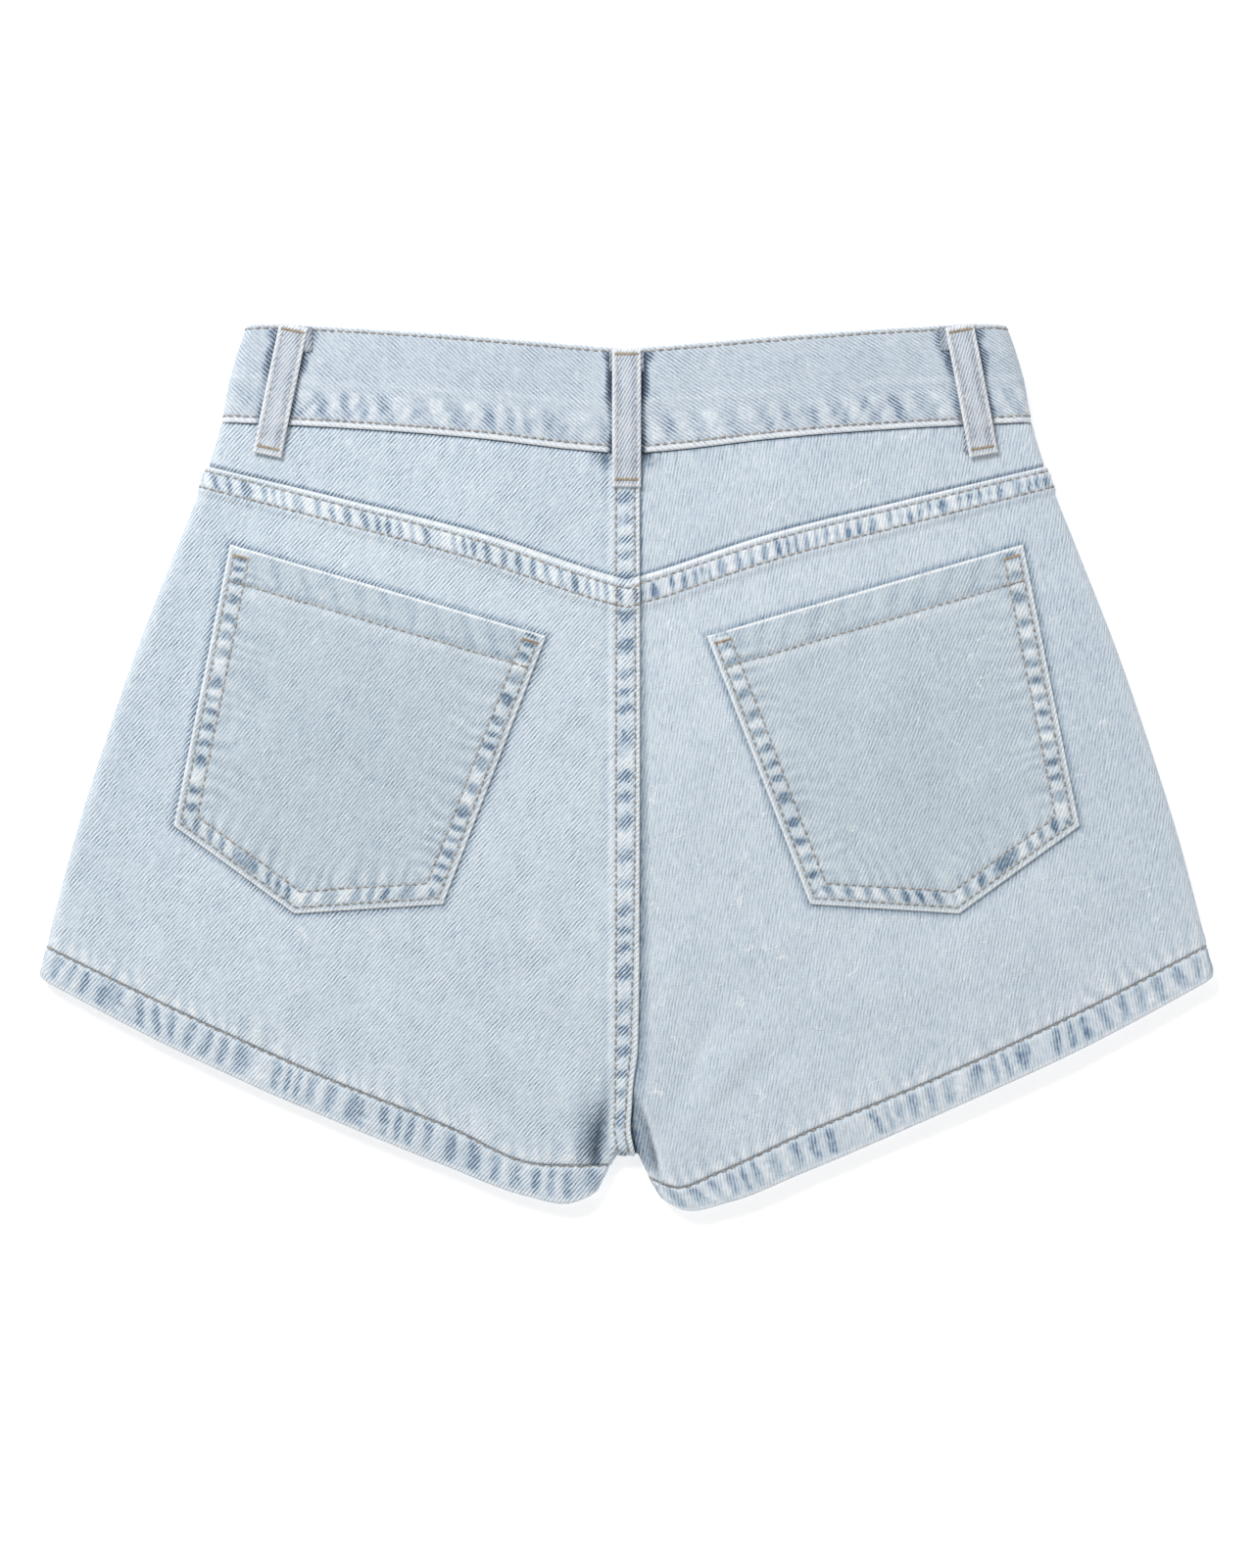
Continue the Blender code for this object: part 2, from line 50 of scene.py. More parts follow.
# %% [markdown]
# ## The sizes
#
# The cutting table of the shorts: the outline of the sides, the seam lines across the back and the
# front, the hems, the pocket and the belt loops. They are the numbers that the solids were cut to, so
# each visible piece lies where its solid is. A leg is worked out in `a`, the distance from the centre
# line, and `y`, up to the waist.

# %% Outline, seams and hems
FOLD_RADIUS = 4.5
UNDERLAP = 7.0
BAND_EXTRA = 1.2
HEM_PROUD = 0.5
HEM_RADIUS = FOLD_RADIUS + HEM_PROUD / 2
SEAM_GAP = 0.3
LOOP_WALL = 1.4
LEGS = (("left", -1), ("right", 1))

SIDE = (
    # y, half width
    (199.0, 171.0), (186.0, 175.5), (175.0, 178.6), (155.0, 182.4), (142.0, 186.1), (131.0, 189.9),
    (98.0, 202.9), (54.0, 220.2), (10.0, 235.4), (-34.0, 249.1), (-66.0, 257.6), (-91.0, 264.2),
)
# a, y
BACK_TOP = ((0, 188.0), (26, 190.1), (79, 194.5), (132, 198.0), (160, 199.3), (172, 198.9))
BACK_BAND_SEAM = ((0, 140.4), (30, 143.2), (61, 147.0), (122, 152.0), (184, 155.2))
YOKE_SEAM = ((0, 84.4), (6, 86.0), (61, 103.8), (125, 120.0), (190, 135.6))
FRONT_TOP = ((0, 174.0), (60, 179.5), (120, 191.0), (160, 198.4), (172, 198.9))
FRONT_BAND_SEAM = ((0, 129.5), (60, 135.5), (120, 147.5), (165, 154.0), (184, 155.2))
CROTCH_Y = -173.8
CROTCH_HALF_WIDTH = 5.2
HEM = {
    # stitch a, stitch y, edge a, edge y
    "left": (
        (7.1, -178.6, 13.5, -191.5), (25.0, -178.6, 26.0, -195.8), (42.5, -177.7, 45.5, -192.3),
        (77.7, -162.3, 84.0, -177.9), (140.6, -136.8, 147.3, -152.0), (202.6, -108.6, 210.0, -123.1),
        (260.4, -80.6, 264.3, -94.5),
    ),
    "right": (
        (9.6, -184.4, 15.8, -194.4), (22.5, -188.6, 26.5, -199.0), (40.7, -182.1, 45.5, -195.4),
        (74.0, -166.8, 80.8, -181.6), (141.0, -138.6, 147.8, -152.6), (203.0, -110.0, 209.8, -123.8),
        (260.4, -80.2, 264.3, -94.5),
    ),
}
SEAT = (
    # y, x of the lapped edge, of the stitch row beside it, of the other row
    (200, 6.0, 3.3, -4.7), (-60, 5.9, 3.3, -4.7), (-113, 5.5, 2.2, -4.8), (-128, 5.0, 1.7, -4.9),
    (-144, 2.9, 0.2, -4.9), (-152, 2.4, -0.2, -5.0), (-163, 1.9, -0.7, -5.3), (-174, 4.0, 1.2, -3.6),
)
RISES = (
    # a, y, reach across, reach along, height
    (0, 168, 120, 55, 2.8), (88, 25, 80, 95, 2.2), (150, -90, 70, 60, 1.4),
)
SIDE_FADE = 34.0
TUCK = (
    # y, centre a, half width, depth
    (-134, 7.0, 2.5, 0.0), (-148, 8.6, 3.0, 1.6), (-160, 10.8, 3.8, 3.4), (-169, 12.6, 4.6, 4.4),
    (-175, 13.6, 4.6, 3.6), (-182, 14.4, 4.6, 2.4), (-191, 15.4, 4.6, 1.2), (-200, 15.4, 4.6, 0.6),
)
CREST = (
    # y, a of the crease where the right leg rises, depth beside it
    (-144, 4.6, 0.0), (-148, 5.8, 0.7), (-154, 7.9, 1.5), (-162, 10.3, 2.4), (-171, 12.6, 3.2),
    (-176, 13.9, 2.6), (-184, 15.0, 0.8), (-190, 15.4, 0.0),
)

# %% Pocket, loops and closure
POCKET_CENTRE = (107.0, 79.6)
POCKET_TILT = math.radians(16.2)
POCKET_TOP = 148.0
POCKET_BOTTOM = 126.0
POCKET_DEPTH = 128.5
POCKET_POINT = 22.7
LOOP_WIDTH = 13.0
LOOP_ARCH = 1.2
BACK_LOOPS = {
    # name: top x, top y, bottom x, bottom y
    "belt_loop_back_centre": (0.0, 187.6, 0.0, 125.6),
    "belt_loop_back_left": (-149.3, 198.2, -161.3, 140.0),
    "belt_loop_back_right": (149.3, 198.2, 160.3, 140.0),
}
FRONT_LOOPS = {
    "belt_loop_front_left": (-92.0, 184.6, -92.0, 127.0),
    "belt_loop_front_right": (92.0, 184.6, 92.0, 127.0),
}
FRONT_LIFTS = (
    # height, a where it ends and where it is full, the same for the distance below the band
    (LOOP_WALL + SEAM_GAP, 152, 122, 62, 18),
    (2.2, 52, 20, 26, 2),
)
OVER_END = 14.0
UNDER_END = 16.0
OVERLAP_LIFT = 2.5

# %% [markdown]
# ## Curves and clouds
#
# A seam line is a short table and a smooth curve through it. `cloud` is random but repeatable hills,
# the stuff of every uneven crease and every faded blotch below.


# %% Curves
def smooth(x, xs, ys):
    """Cubic interpolation of ys at x, with each slope taken from the neighbouring points."""
    xs, ys, x = np.asarray(xs, float), np.asarray(ys, float), np.asarray(x, float)
    slopes = np.gradient(ys, xs, axis=0)
    i = np.clip(np.searchsorted(xs, x) - 1, 0, len(xs) - 2)
    step = xs[i + 1] - xs[i]
    t = np.clip((x - xs[i]) / step, 0, 1)
    if ys.ndim == 2:
        step, t = step[..., None], t[..., None]
    start = (2 * t**3 - 3 * t**2 + 1) * ys[i] + (t**3 - 2 * t**2 + t) * step * slopes[i]
    finish = (3 * t**2 - 2 * t**3) * ys[i + 1] + (t**3 - t**2) * step * slopes[i + 1]
    return start + finish


def along(points, fractions):
    """Points at fractions of the length of a smooth curve through `points`."""
    points = np.asarray(points, float)
    chords = np.linalg.norm(np.diff(points, axis=0), axis=1)
    length = np.concatenate([[0], np.cumsum(chords)])
    return smooth(np.asarray(fractions) * length[-1], length, points)


def ease(x, low, high):
    """0 at low, 1 at high, with a smooth rise between; low may be above high."""
    t = np.clip((np.asarray(x, float) - low) / (high - low), 0, 1)
    return t * t * (3 - 2 * t)


def bell(x, centre, reach):
    """1 at the centre, falling off like a bell curve."""
    return np.exp(-((x - centre) / reach)**2)


def to_segment(a, y, start, end):
    """Distance from a straight segment, and the share of its length where it is nearest."""
    span = np.subtract(end, start)
    t = np.clip(((a - start[0]) * span[0] + (y - start[1]) * span[1]) / (span @ span), 0, 1)
    return np.hypot(a - start[0] - t * span[0], y - start[1] - t * span[1]), t


def falling(table, y, column):
    """A column of a table whose first column is y, from high to low."""
    rows = np.array(table[::-1], float)
    return smooth(np.clip(y, rows[0, 0], rows[-1, 0]), rows[:, 0], rows[:, column])


def half_width(y):
    """Distance of the shorts' side from the centre line."""
    return falling(SIDE, y, 1)


def seam_y(table, a):
    """The y of a seam line at a distance from the centre line."""
    rows = np.array(table, float)
    return smooth(a, rows[:, 0], rows[:, 1])


def cloud(x, y, size, seed):
    """Hills from 0 to 1: random numbers on a lattice `size` apart, blended between its corners."""
    table = np.random.default_rng(seed).random((64, 64))
    u, v = np.asarray(x, float) / size, np.asarray(y, float) / size
    i, j = np.floor(u).astype(int), np.floor(v).astype(int)
    f, g = u - i, v - j
    f, g = f * f * (3 - 2 * f), g * g * (3 - 2 * g)
    low = table[i % 64, j % 64] * (1 - f) + table[(i + 1) % 64, j % 64] * f
    high = table[i % 64, (j + 1) % 64] * (1 - f) + table[(i + 1) % 64, (j + 1) % 64] * f
    return low * (1 - g) + high * g


# %% [markdown]
# ## The lie of the cloth
#
# The back is a broad, low, uneven surface: level over most of the leg, a little higher at the seat,
# rounded down at the side folds and the inner leg, with a deep tuck on each side of the crotch.
# Shallow waves in several directions stand for cloth that was smoothed by hand.


# %% Heights of the back and the front
def inner_distance(leg, a, y):
    """Distance to the fold that closes the leg inside: the crotch, then the inner leg."""
    corner = (CROTCH_HALF_WIDTH, CROTCH_Y - 0.2)
    line = ((-9, CROTCH_Y), corner, HEM[leg][0][:2], HEM[leg][0][2:])
    return np.min([to_segment(a, y, *ends)[0] for ends in zip(line[:-1], line[1:])], axis=0)


def rounding(leg, a, y):
    """0 on the inner fold and 1 from one fold radius away, along a quarter circle."""
    away = 1 - np.minimum(inner_distance(leg, a, y) / FOLD_RADIUS, 1)
    return np.sqrt(1 - away**2)


WAVES = (
    # direction of the ridges in degrees, wavelength, height, seed
    (80, 58.0, 0.55, 11), (35, 34.0, 0.38, 12), (-40, 30.0, 0.36, 13), (100, 17.0, 0.16, 14),
)
CREASES = (
    # x and y of both ends, half width, height (a ridge is positive)
    (-104.5, 101.0, -104.5, 82.0, 0.9, 0.45), (108.5, 105.0, 112.5, 84.0, 0.9, 0.45),
    (-14.0, -140.0, -46.0, -98.0, 9.0, -1.6), (-30.0, -150.0, -66.0, -118.0, 8.0, 1.2),
    (12.0, -152.0, 20.0, -84.0, 5.0, 1.0), (20.0, -160.0, 44.0, -100.0, 5.0, -1.0),
    (30.0, -158.0, 66.0, -110.0, 6.0, 0.9), (44.0, -150.0, 86.0, -118.0, 7.0, -0.7),
    (-20.0, -158.0, -24.0, -110.0, 5.0, 0.9), (-48.0, -158.0, -88.0, -132.0, 7.0, -0.6),
    (-196.0, 60.0, -214.0, 10.0, 7.0, -0.6), (206.0, 40.0, 222.0, -14.0, 7.0, -0.6),
    (-226.0, -20.0, -200.0, -76.0, 9.0, 0.6), (228.0, -32.0, 196.0, -84.0, 9.0, 0.6),
    (-110.0, -74.0, -126.0, -132.0, 8.0, -0.55), (96.0, -72.0, 112.0, -136.0, 8.0, -0.5),
    (-60.0, 60.0, -22.0, 10.0, 9.0, 0.5), (52.0, 44.0, 20.0, -20.0, 9.0, 0.5),
)


def waves(x, y):
    """Long uneven swells across the cloth, each a cloud stretched along its ridges, and the creases."""
    total = np.zeros(np.broadcast(x, y).shape)
    for degrees, length, height, seed in WAVES:
        turn = math.radians(degrees)
        along_ridge = x * math.cos(turn) + y * math.sin(turn)
        across_ridge = y * math.cos(turn) - x * math.sin(turn)
        swell = cloud(across_ridge + 900, along_ridge / 2.6 + 900, length / 2, seed)
        total += height * 2 * (swell - 0.5)
    for x0, y0, x1, y1, reach, height in CREASES:
        away, t = to_segment(x, y, (x0, y0), (x1, y1))
        total += height * bell(away, 0, reach) * (0.25 + 0.75 * np.sin(math.pi * np.clip(t, 0.1, 0.9)))
    return total


def tuck_at(y):
    """Centre, half width and depth of the crotch tuck: straight lines between the table's rows."""
    rows = np.array(TUCK[::-1])
    return [np.interp(y, rows[:, 0], rows[:, k]) for k in (1, 2, 3)]


def back_height(leg, a, y):
    """Outer height of one layer of the back: level, plus rises and waves, less the crotch tuck."""
    side = dict(LEGS)[leg]
    out = np.abs(a)
    rise = np.zeros(np.shape(a))
    for centre_a, centre_y, reach_a, reach_y, height in RISES:
        rise += height * bell(out, centre_a, reach_a) * bell(y, centre_y, reach_y)
    rise += waves(side * a, y)
    rise *= 1 - bell(half_width(y) - out, FOLD_RADIUS, SIDE_FADE)
    centre, width, depth = tuck_at(y)
    tuck = depth * bell(a, centre, width)
    if leg == "right":
        crest = falling(CREST, y, 1)
        tuck = 0.45 * tuck + falling(CREST, y, 2) * (1 - ease(a, crest - 1.4, crest + 0.5))
    return FOLD_RADIUS * (1 + rounding(leg, out, y)) + (rise - tuck) * rounding(leg, out, y)


def front_lift(a, below_band=0.0):
    """How far the front is held up by the loops and the button under its waist."""
    total = 0
    for height, a_none, a_full, below_none, below_full in FRONT_LIFTS:
        total = total + height * ease(a, a_none, a_full) * ease(below_band, below_none, below_full)
    return total


def front_height(leg, a, y):
    """Outer height of the front, which faces the floor."""
    lift = front_lift(a, seam_y(FRONT_BAND_SEAM, a) - y)
    return FOLD_RADIUS * (1 - rounding(leg, a, y)) + lift


# %% [markdown]
# ## Sheets
#
# A sheet is a grid of points. A patch is stretched between four edge curves, and a side fold carries
# every row round a half circle and back underneath. `flat` keeps each point's place on the cloth as
# it lay on the cutting table, so that the weave runs on round the folds without stretching.


# %% Grids
def patch(top, bottom, inner, outer, across, down):
    """Points of a sheet stretched evenly between its four edges (a Coons patch)."""
    u, v = np.asarray(across)[None, :, None], np.asarray(down)[:, None, None]
    ruled = (1 - v) * top[None] + v * bottom[None] + (1 - u) * inner[:, None] + u * outer[:, None]
    corners = ((1 - u) * (1 - v) * top[0] + u * (1 - v) * top[-1]
               + (1 - u) * v * bottom[0] + u * v * bottom[-1])
    return ruled - corners


def raised(plan, heights):
    """A plan of (x, y) points with their heights."""
    return np.concatenate([plan, heights[..., None]], axis=-1)


SIDE_ANGLES = np.radians(np.arange(15, 181, 15))


def round_the_side(grid, underlap):
    """Each row carried round the side fold, a half circle, and `underlap` back; and its flat place."""
    end = grid[:, -1]
    slope = (end[:, 1] - grid[:, -2, 1]) / (end[:, 0] - grid[:, -2, 0])
    radius = end[:, 2] / 2
    wrapped, flats = [], []
    reaches = [(radius * np.sin(t), radius * (1 + np.cos(t)), radius * t) for t in SIDE_ANGLES]
    steps = np.linspace(0, underlap, 6)[1:] if underlap else ()
    reaches += [(0 * radius - step, 0 * radius, radius * math.pi + step) for step in steps]
    for reach, z, run in reaches:
        a = end[:, 0] + reach
        for _ in range(4):
            y = end[:, 1] + slope * (a - end[:, 0])
            a = half_width(y) - radius + reach
        wrapped.append(np.stack([a, y, z], axis=-1))
        flats.append(np.stack([end[:, 0] + run, y], axis=-1))
    flat = np.concatenate([grid[..., :2], np.stack(flats, axis=1)], axis=1)
    return np.concatenate([grid, np.stack(wrapped, axis=1)], axis=1), flat


def over_the_back(leg, plan):
    """A plan raised to the height of the back and carried round the side fold; and its flat place."""
    heights = back_height(leg, plan[..., 0], plan[..., 1])
    heights[:, -1] = 2 * FOLD_RADIUS
    return round_the_side(raised(plan, heights), UNDERLAP)


def seam_points(table, fractions, inset, start=0.0):
    """A seam line as (a, y) points, from `start` out to `inset` inside the side fold."""
    reach = 180.0
    for _ in range(6):
        reach = half_width(seam_y(table, reach)) - inset
    a = start + np.asarray(fractions) * (reach - start)
    return np.stack([a, seam_y(table, a)], axis=-1)


def hem_points(leg, line, fractions):
    """The hem's stitched line (0) or its bottom edge (1), out to where the side fold starts."""
    points = np.array(HEM[leg])[:, 2 * line:2 * line + 2]
    steps = np.linspace(0.8, 1, 201)
    trial = along(points, steps)
    beyond = trial[:, 0] - (half_width(trial[:, 1]) - HEM_RADIUS)
    return along(points, np.asarray(fractions) * np.interp(0, beyond, steps))


def outward(grid, up, ring=False):
    """Unit normals: the cross product of the steps down and across, turned to face up or down."""
    wide = np.concatenate([grid[:, -1:], grid, grid[:, :1]], axis=1) if ring else grid
    across = np.gradient(wide, axis=1)
    across = across[:, 1:-1] if ring else across
    normal = np.cross(np.gradient(grid, axis=0), across)
    normal /= np.maximum(np.linalg.norm(normal, axis=-1, keepdims=True), 1e-9)
    return normal if (normal[:, :4, 2].mean() > 0) == up else -normal


def rolled(distance, radius=0.9):
    """How far a folded edge drops: a quarter circle over the last `radius` of the cloth."""
    inside = np.clip(1 - distance / radius, 0, 1)
    return -radius * (1 - np.sqrt(1 - 0.96 * inside**2))


# %% [markdown]
# ## Fading and painted shade
#
# Worn denim is blue where the cloth was hidden in a crease and white where it stood up. Each point
# carries four numbers, kept as four layers: its relief, how blue and how white it is, and painted
# shade; blue also stands for painted shadow beside raised edges and in hollows. Between two rows of
# stitching the cloth ropes: short raised white blocks and sunken blue ones, uneven in length and depth.


# %% Relief, dye, painted shade and roping
def empty_layers(grid):
    """Four layers of a sheet to add to: relief in mm, how blue and how white it is, and its painted
    shade.
    """
    return np.zeros((4,) + grid.shape[:2])


def roping(s, t, near, far, pitch, slant, seed, soft=0.9):
    """Blue blocks and white blocks between rows at t = near and far.

    A leaning cosine wave that wanders along the seam and is frayed by a fine cloud. Blocks narrow
    towards both rows, and a coarser cloud makes some deep and leaves others out.
    """
    wander = 1.6 * (cloud(s + 300, 7, pitch * 1.9, seed) - 0.5)
    fray = 0.55 * (cloud(s + 700, t + 90, 1.9, seed + 5) - 0.5)
    narrow = 0.28 * (2 * (t - near) / (far - near) - 1)**2
    wave = 0.5 + 0.5 * np.cos(2 * math.pi * ((s + slant * t) / pitch + wander)) + fray - narrow
    strength = np.clip(0.15 + 1.4 * cloud(s + 100, t + 50, pitch * 1.1, seed + 1), 0.2, 1.2)
    inside = ease(t, near, near + soft) * ease(t, far, far - soft)
    return ease(wave, 0.36, 0.92) * strength * inside, ease(wave, 0.56, 0.10) * (1.5 - strength) * inside


def puckers(s, t, start, reach, pitch, seed):
    """Little pleats that run off a stitch row and die away within `reach`, from -1 to 1."""
    fade = np.exp(-np.clip(t - start, 0, None) / reach) * (t >= start)
    phase = s / pitch + 1.3 * cloud(s + 200, t + 80, pitch * 1.6, seed)
    return fade * np.cos(2 * math.pi * phase) * (0.4 + 0.8 * cloud(s, t, pitch, seed + 3))


def roped(layers, blocks, lift, blueness, whiteness, dip_shade=0.0):
    """Adds roping: its white blocks are raised and paler, its sunken blue ones bluer and dimmed by
    painted shade.
    """
    blue, white = blocks
    layers += np.stack([lift * white, blueness * blue, whiteness * white, dip_shade * blue])


def pleated(layers, pleats, lift, whiteness, blueness=0.0, where=1.0, most=1.0):
    """Adds pleats: raised and white where they are above 0, sunken and blue below, up to `most`."""
    layers[0] += lift * pleats * where
    layers[1] += blueness * np.clip(-pleats, 0, most) * where
    layers[2] += whiteness * np.clip(pleats, 0, most) * where


def groove(t, row, depth=0.35, reach=0.75):
    """The dip that a stitch row pulls into the cloth."""
    return -depth * bell(t, row, reach)


def row_shade(t, *rows):
    """1 on each stitch row, fading within a millimetre: where the thread shades the cloth."""
    return sum(bell(t, row, 0.8) for row in rows)


def length_along(points):
    """Distance along each row of points, from its first."""
    steps = np.linalg.norm(np.diff(points, axis=-2), axis=-1)
    start = np.zeros(steps.shape[:-1] + (1,))
    return np.concatenate([start, np.cumsum(steps, axis=-1)], axis=-1)


# %% [markdown]
# ## Denim
#
# Denim is a twill: blue warp threads over white weft, in fine slanting lines. The finish reads the
# flat place of each point, so that its lines keep their pitch. Slubs stretch a noise along the warp,
# hair-thin creases are the contour lines of a slow noise, and the dye moves the whole along one ramp
# from white to blue, after which painted shade dims it. All of it is a pattern of numbers, so no
# picture is needed.


# %% Node helpers
def add(tree, kind, sockets=None, **settings):
    """A new node with its settings, and its sockets linked or set."""
    made = tree.nodes.new("ShaderNode" + kind)
    for key, value in settings.items():
        setattr(made, key, value)
    for key, value in (sockets or {}).items():
        if isinstance(value, bpy.types.NodeSocket):
            tree.links.new(value, made.inputs[key])
        else:
            made.inputs[key].default_value = value
    return made


def maths(tree, operation, *values, clamp=False):
    """The result of a Math node on values or sockets."""
    made = add(tree, "Math", dict(enumerate(values)), operation=operation)
    made.use_clamp = clamp
    return made.outputs[0]


def srgb(r, g, b):
    """A colour given as 0 to 255, made linear."""
    c = np.array((r, g, b)) / 255
    linear = np.where(c <= 0.04045, c / 12.92, ((c + 0.055) / 1.055)**2.4)
    return (*linear.tolist(), 1.0)


def new_material(name, roughness, sheen=0.0, metallic=0.0):
    """A material, its node tree and its shader, with the same soft gloss on all."""
    made = bpy.data.materials.new(name)
    made.use_nodes = True
    shader = made.node_tree.nodes["Principled BSDF"]
    shader.inputs["Roughness"].default_value = roughness
    shader.inputs["Sheen Weight"].default_value = sheen
    shader.inputs["Sheen Roughness"].default_value = 0.6
    shader.inputs["Specular IOR Level"].default_value = 0.25
    shader.inputs["Metallic"].default_value = metallic
    return made, made.node_tree, shader


def ramp(tree, factor, stops):
    """A colour that runs through `stops`, rows of place and colour, as the factor goes from 0 to 1."""
    made = add(tree, "ValToRGB", {"Fac": factor})
    elements = made.color_ramp.elements
    while len(elements) < len(stops):
        elements.new(0.5)
    for element, (place, colour) in zip(elements, stops):
        element.position = place
        element.color = srgb(*colour)
    return made.outputs[0]


def added(tree, start, parts):
    """The start and each part times its weight, added up one after another."""
    for value, weight in parts:
        start = maths(tree, "MULTIPLY_ADD", value, weight, start)
    return start


def painted(tree, shader, colour, relief=None, strength=0.0, distance=0.0):
    """Links a colour, and if given a relief as a bump, to the shader."""
    tree.links.new(colour, shader.inputs["Base Color"])
    if relief:
        bump = add(tree, "Bump", {"Height": relief, "Strength": strength, "Distance": distance})
        tree.links.new(bump.outputs[0], shader.inputs["Normal"])


# %% The denim finish
TONES = (0.0, 0.34, 0.52, 0.74, 1.0)
MEAN_LEVEL = 0.37


def stretched_noise(tree, flat, size_u, size_v, detail=2.0, turn=0.0, distortion=0.0):
    """Noise whose spots are size_u by size_v mm, after turning the cloth by `turn`."""
    turned = add(tree, "Mapping", {"Vector": flat, "Rotation": (0, 0, turn)})
    scaled = add(tree, "Mapping", {"Vector": turned.outputs[0], "Scale": (1 / size_u, 1 / size_v, 1)})
    noise = add(tree, "TexNoise", {"Vector": scaled.outputs[0], "Scale": 1.0, "Detail": detail,
                                   "Distortion": distortion})
    return noise.outputs["Fac"]


def denim(name, lean, colours, fade=0.0, twill=0.6, pitch=1.45, fibre=0.50, crackle=0.14, even=0.0):
    """A denim finish: noises, twill and creases times their weights, added up and put through a ramp.

    `lean` is the way of the twill in degrees, `fade` moves the whole towards white, and `even` says
    how unbroken the twill lines are, from 0 to 1.
    """
    made, tree, shader = new_material(name, 0.88, sheen=0.2)
    flat = add(tree, "UVMap", uv_map="flat").outputs[0]
    dye_and_shade = add(tree, "SeparateXYZ", {0: add(tree, "Attribute", attribute_name="dye_and_shade").outputs["Vector"]})
    blue, white, dark = dye_and_shade.outputs
    across_twill = math.radians(90 - lean)
    turned = add(tree, "Mapping", {"Vector": flat, "Rotation": (0, 0, across_twill),
                                   "Scale": (1 / pitch, 1 / pitch, 1)})
    waves_in = {"Vector": turned.outputs[0], "Scale": 0.31416, "Distortion": 1.8, "Detail": 2.0,
                "Detail Scale": 1.4}
    lines = add(tree, "TexWave", waves_in, bands_direction="X").outputs["Fac"]
    patchy = stretched_noise(tree, flat, 9, 13, 3.0)
    broken = stretched_noise(tree, flat, 2.6, 3.0, 1.0)
    clouds = stretched_noise(tree, flat, 24, 34, 2.0)
    strokes = stretched_noise(tree, flat, 0.85, 4.6, 1.5, across_twill)
    warp = stretched_noise(tree, flat, 0.7, 9.0, 2.0)
    weft = stretched_noise(tree, flat, 4.5, 0.8, 2.0)
    grain = stretched_noise(tree, flat, 0.8, 0.9, 1.0)
    mottle = stretched_noise(tree, flat, 2.0, 2.8, 2.0, across_twill)
    slow = stretched_noise(tree, flat, 15, 26, 1.0, 0.3, 0.5)
    cross = stretched_noise(tree, flat, 24, 12, 1.0, -0.6, 0.5)
    hair = maths(tree, "MINIMUM", maths(tree, "ABSOLUTE", maths(tree, "SUBTRACT", slow, 0.5)),
                 maths(tree, "ABSOLUTE", maths(tree, "SUBTRACT", cross, 0.48)))
    hair = add(tree, "MapRange", {"Value": hair, "From Min": 0.002, "From Max": 0.010,
                                  "To Min": 1.0, "To Max": 0.0}).outputs[0]
    gate = stretched_noise(tree, flat, 9, 12, 3.0)
    shown = add(tree, "MapRange", {"Value": gate, "From Min": 0.50, "From Max": 0.62}).outputs[0]
    hair = maths(tree, "MULTIPLY", hair, shown)
    gain = maths(tree, "MULTIPLY_ADD", broken, 2.6 * (1 - even), 1.3 * even - 0.65, clamp=True)
    patches = maths(tree, "MULTIPLY_ADD", patchy, 4.0 - 3 * even, 1.5 * even - 1.3, clamp=True)
    gain = maths(tree, "MULTIPLY", gain, patches)
    gain = maths(tree, "MULTIPLY_ADD", blue, 0.8, gain)
    ridge = maths(tree, "MULTIPLY", maths(tree, "SUBTRACT", lines, 0.5), gain)
    worn = maths(tree, "MULTIPLY_ADD", mottle, 1.5, -0.05)
    noises = ((clouds, 0.14), (patchy, 0.16), (warp, 0.20), (weft, 0.12), (grain, 0.20), (strokes, fibre))
    start = MEAN_LEVEL - 0.5 * sum(weight for _, weight in noises) - fade
    level = added(tree, start, noises + ((ridge, twill), (hair, -crackle)))
    level = maths(tree, "MULTIPLY_ADD", maths(tree, "MULTIPLY", blue, worn), 0.84, level)
    level = maths(tree, "MULTIPLY_ADD", maths(tree, "MULTIPLY", white, worn), -0.60, level, clamp=True)
    colour = ramp(tree, level, list(zip(TONES, colours)))
    # painted shade: the attribute's third number dims the colour
    shade = maths(tree, "MULTIPLY_ADD", dark, -1.0, 1.0, clamp=True)
    shaded = add(tree, "VectorMath", {0: colour, 1: shade}, operation="MULTIPLY").outputs[0]
    relief = added(tree, maths(tree, "MULTIPLY", warp, 0.6),
                   ((lines, 0.5), (strokes, 0.5), (weft, 0.3), (hair, 0.35)))
    painted(tree, shader, shaded, relief, 0.9, 0.0005)
    return made


LEFT_COLOURS = ((238, 243, 246), (207, 219, 229), (184, 200, 214), (147, 168, 188), (98, 120, 146))
RIGHT_COLOURS = ((238, 242, 246), (206, 217, 227), (184, 199, 212), (147, 167, 188), (98, 119, 147))
BAND_COLOURS = ((234, 239, 244), (202, 212, 222), (180, 194, 208), (144, 162, 183), (86, 106, 136))
POCKET_COLOURS = ((236, 240, 243), (199, 211, 220), (176, 191, 203), (138, 158, 177), (92, 114, 139))
LOOP_COLOURS = ((236, 238, 241), (205, 212, 220), (183, 193, 204), (149, 162, 180), (102, 119, 144))

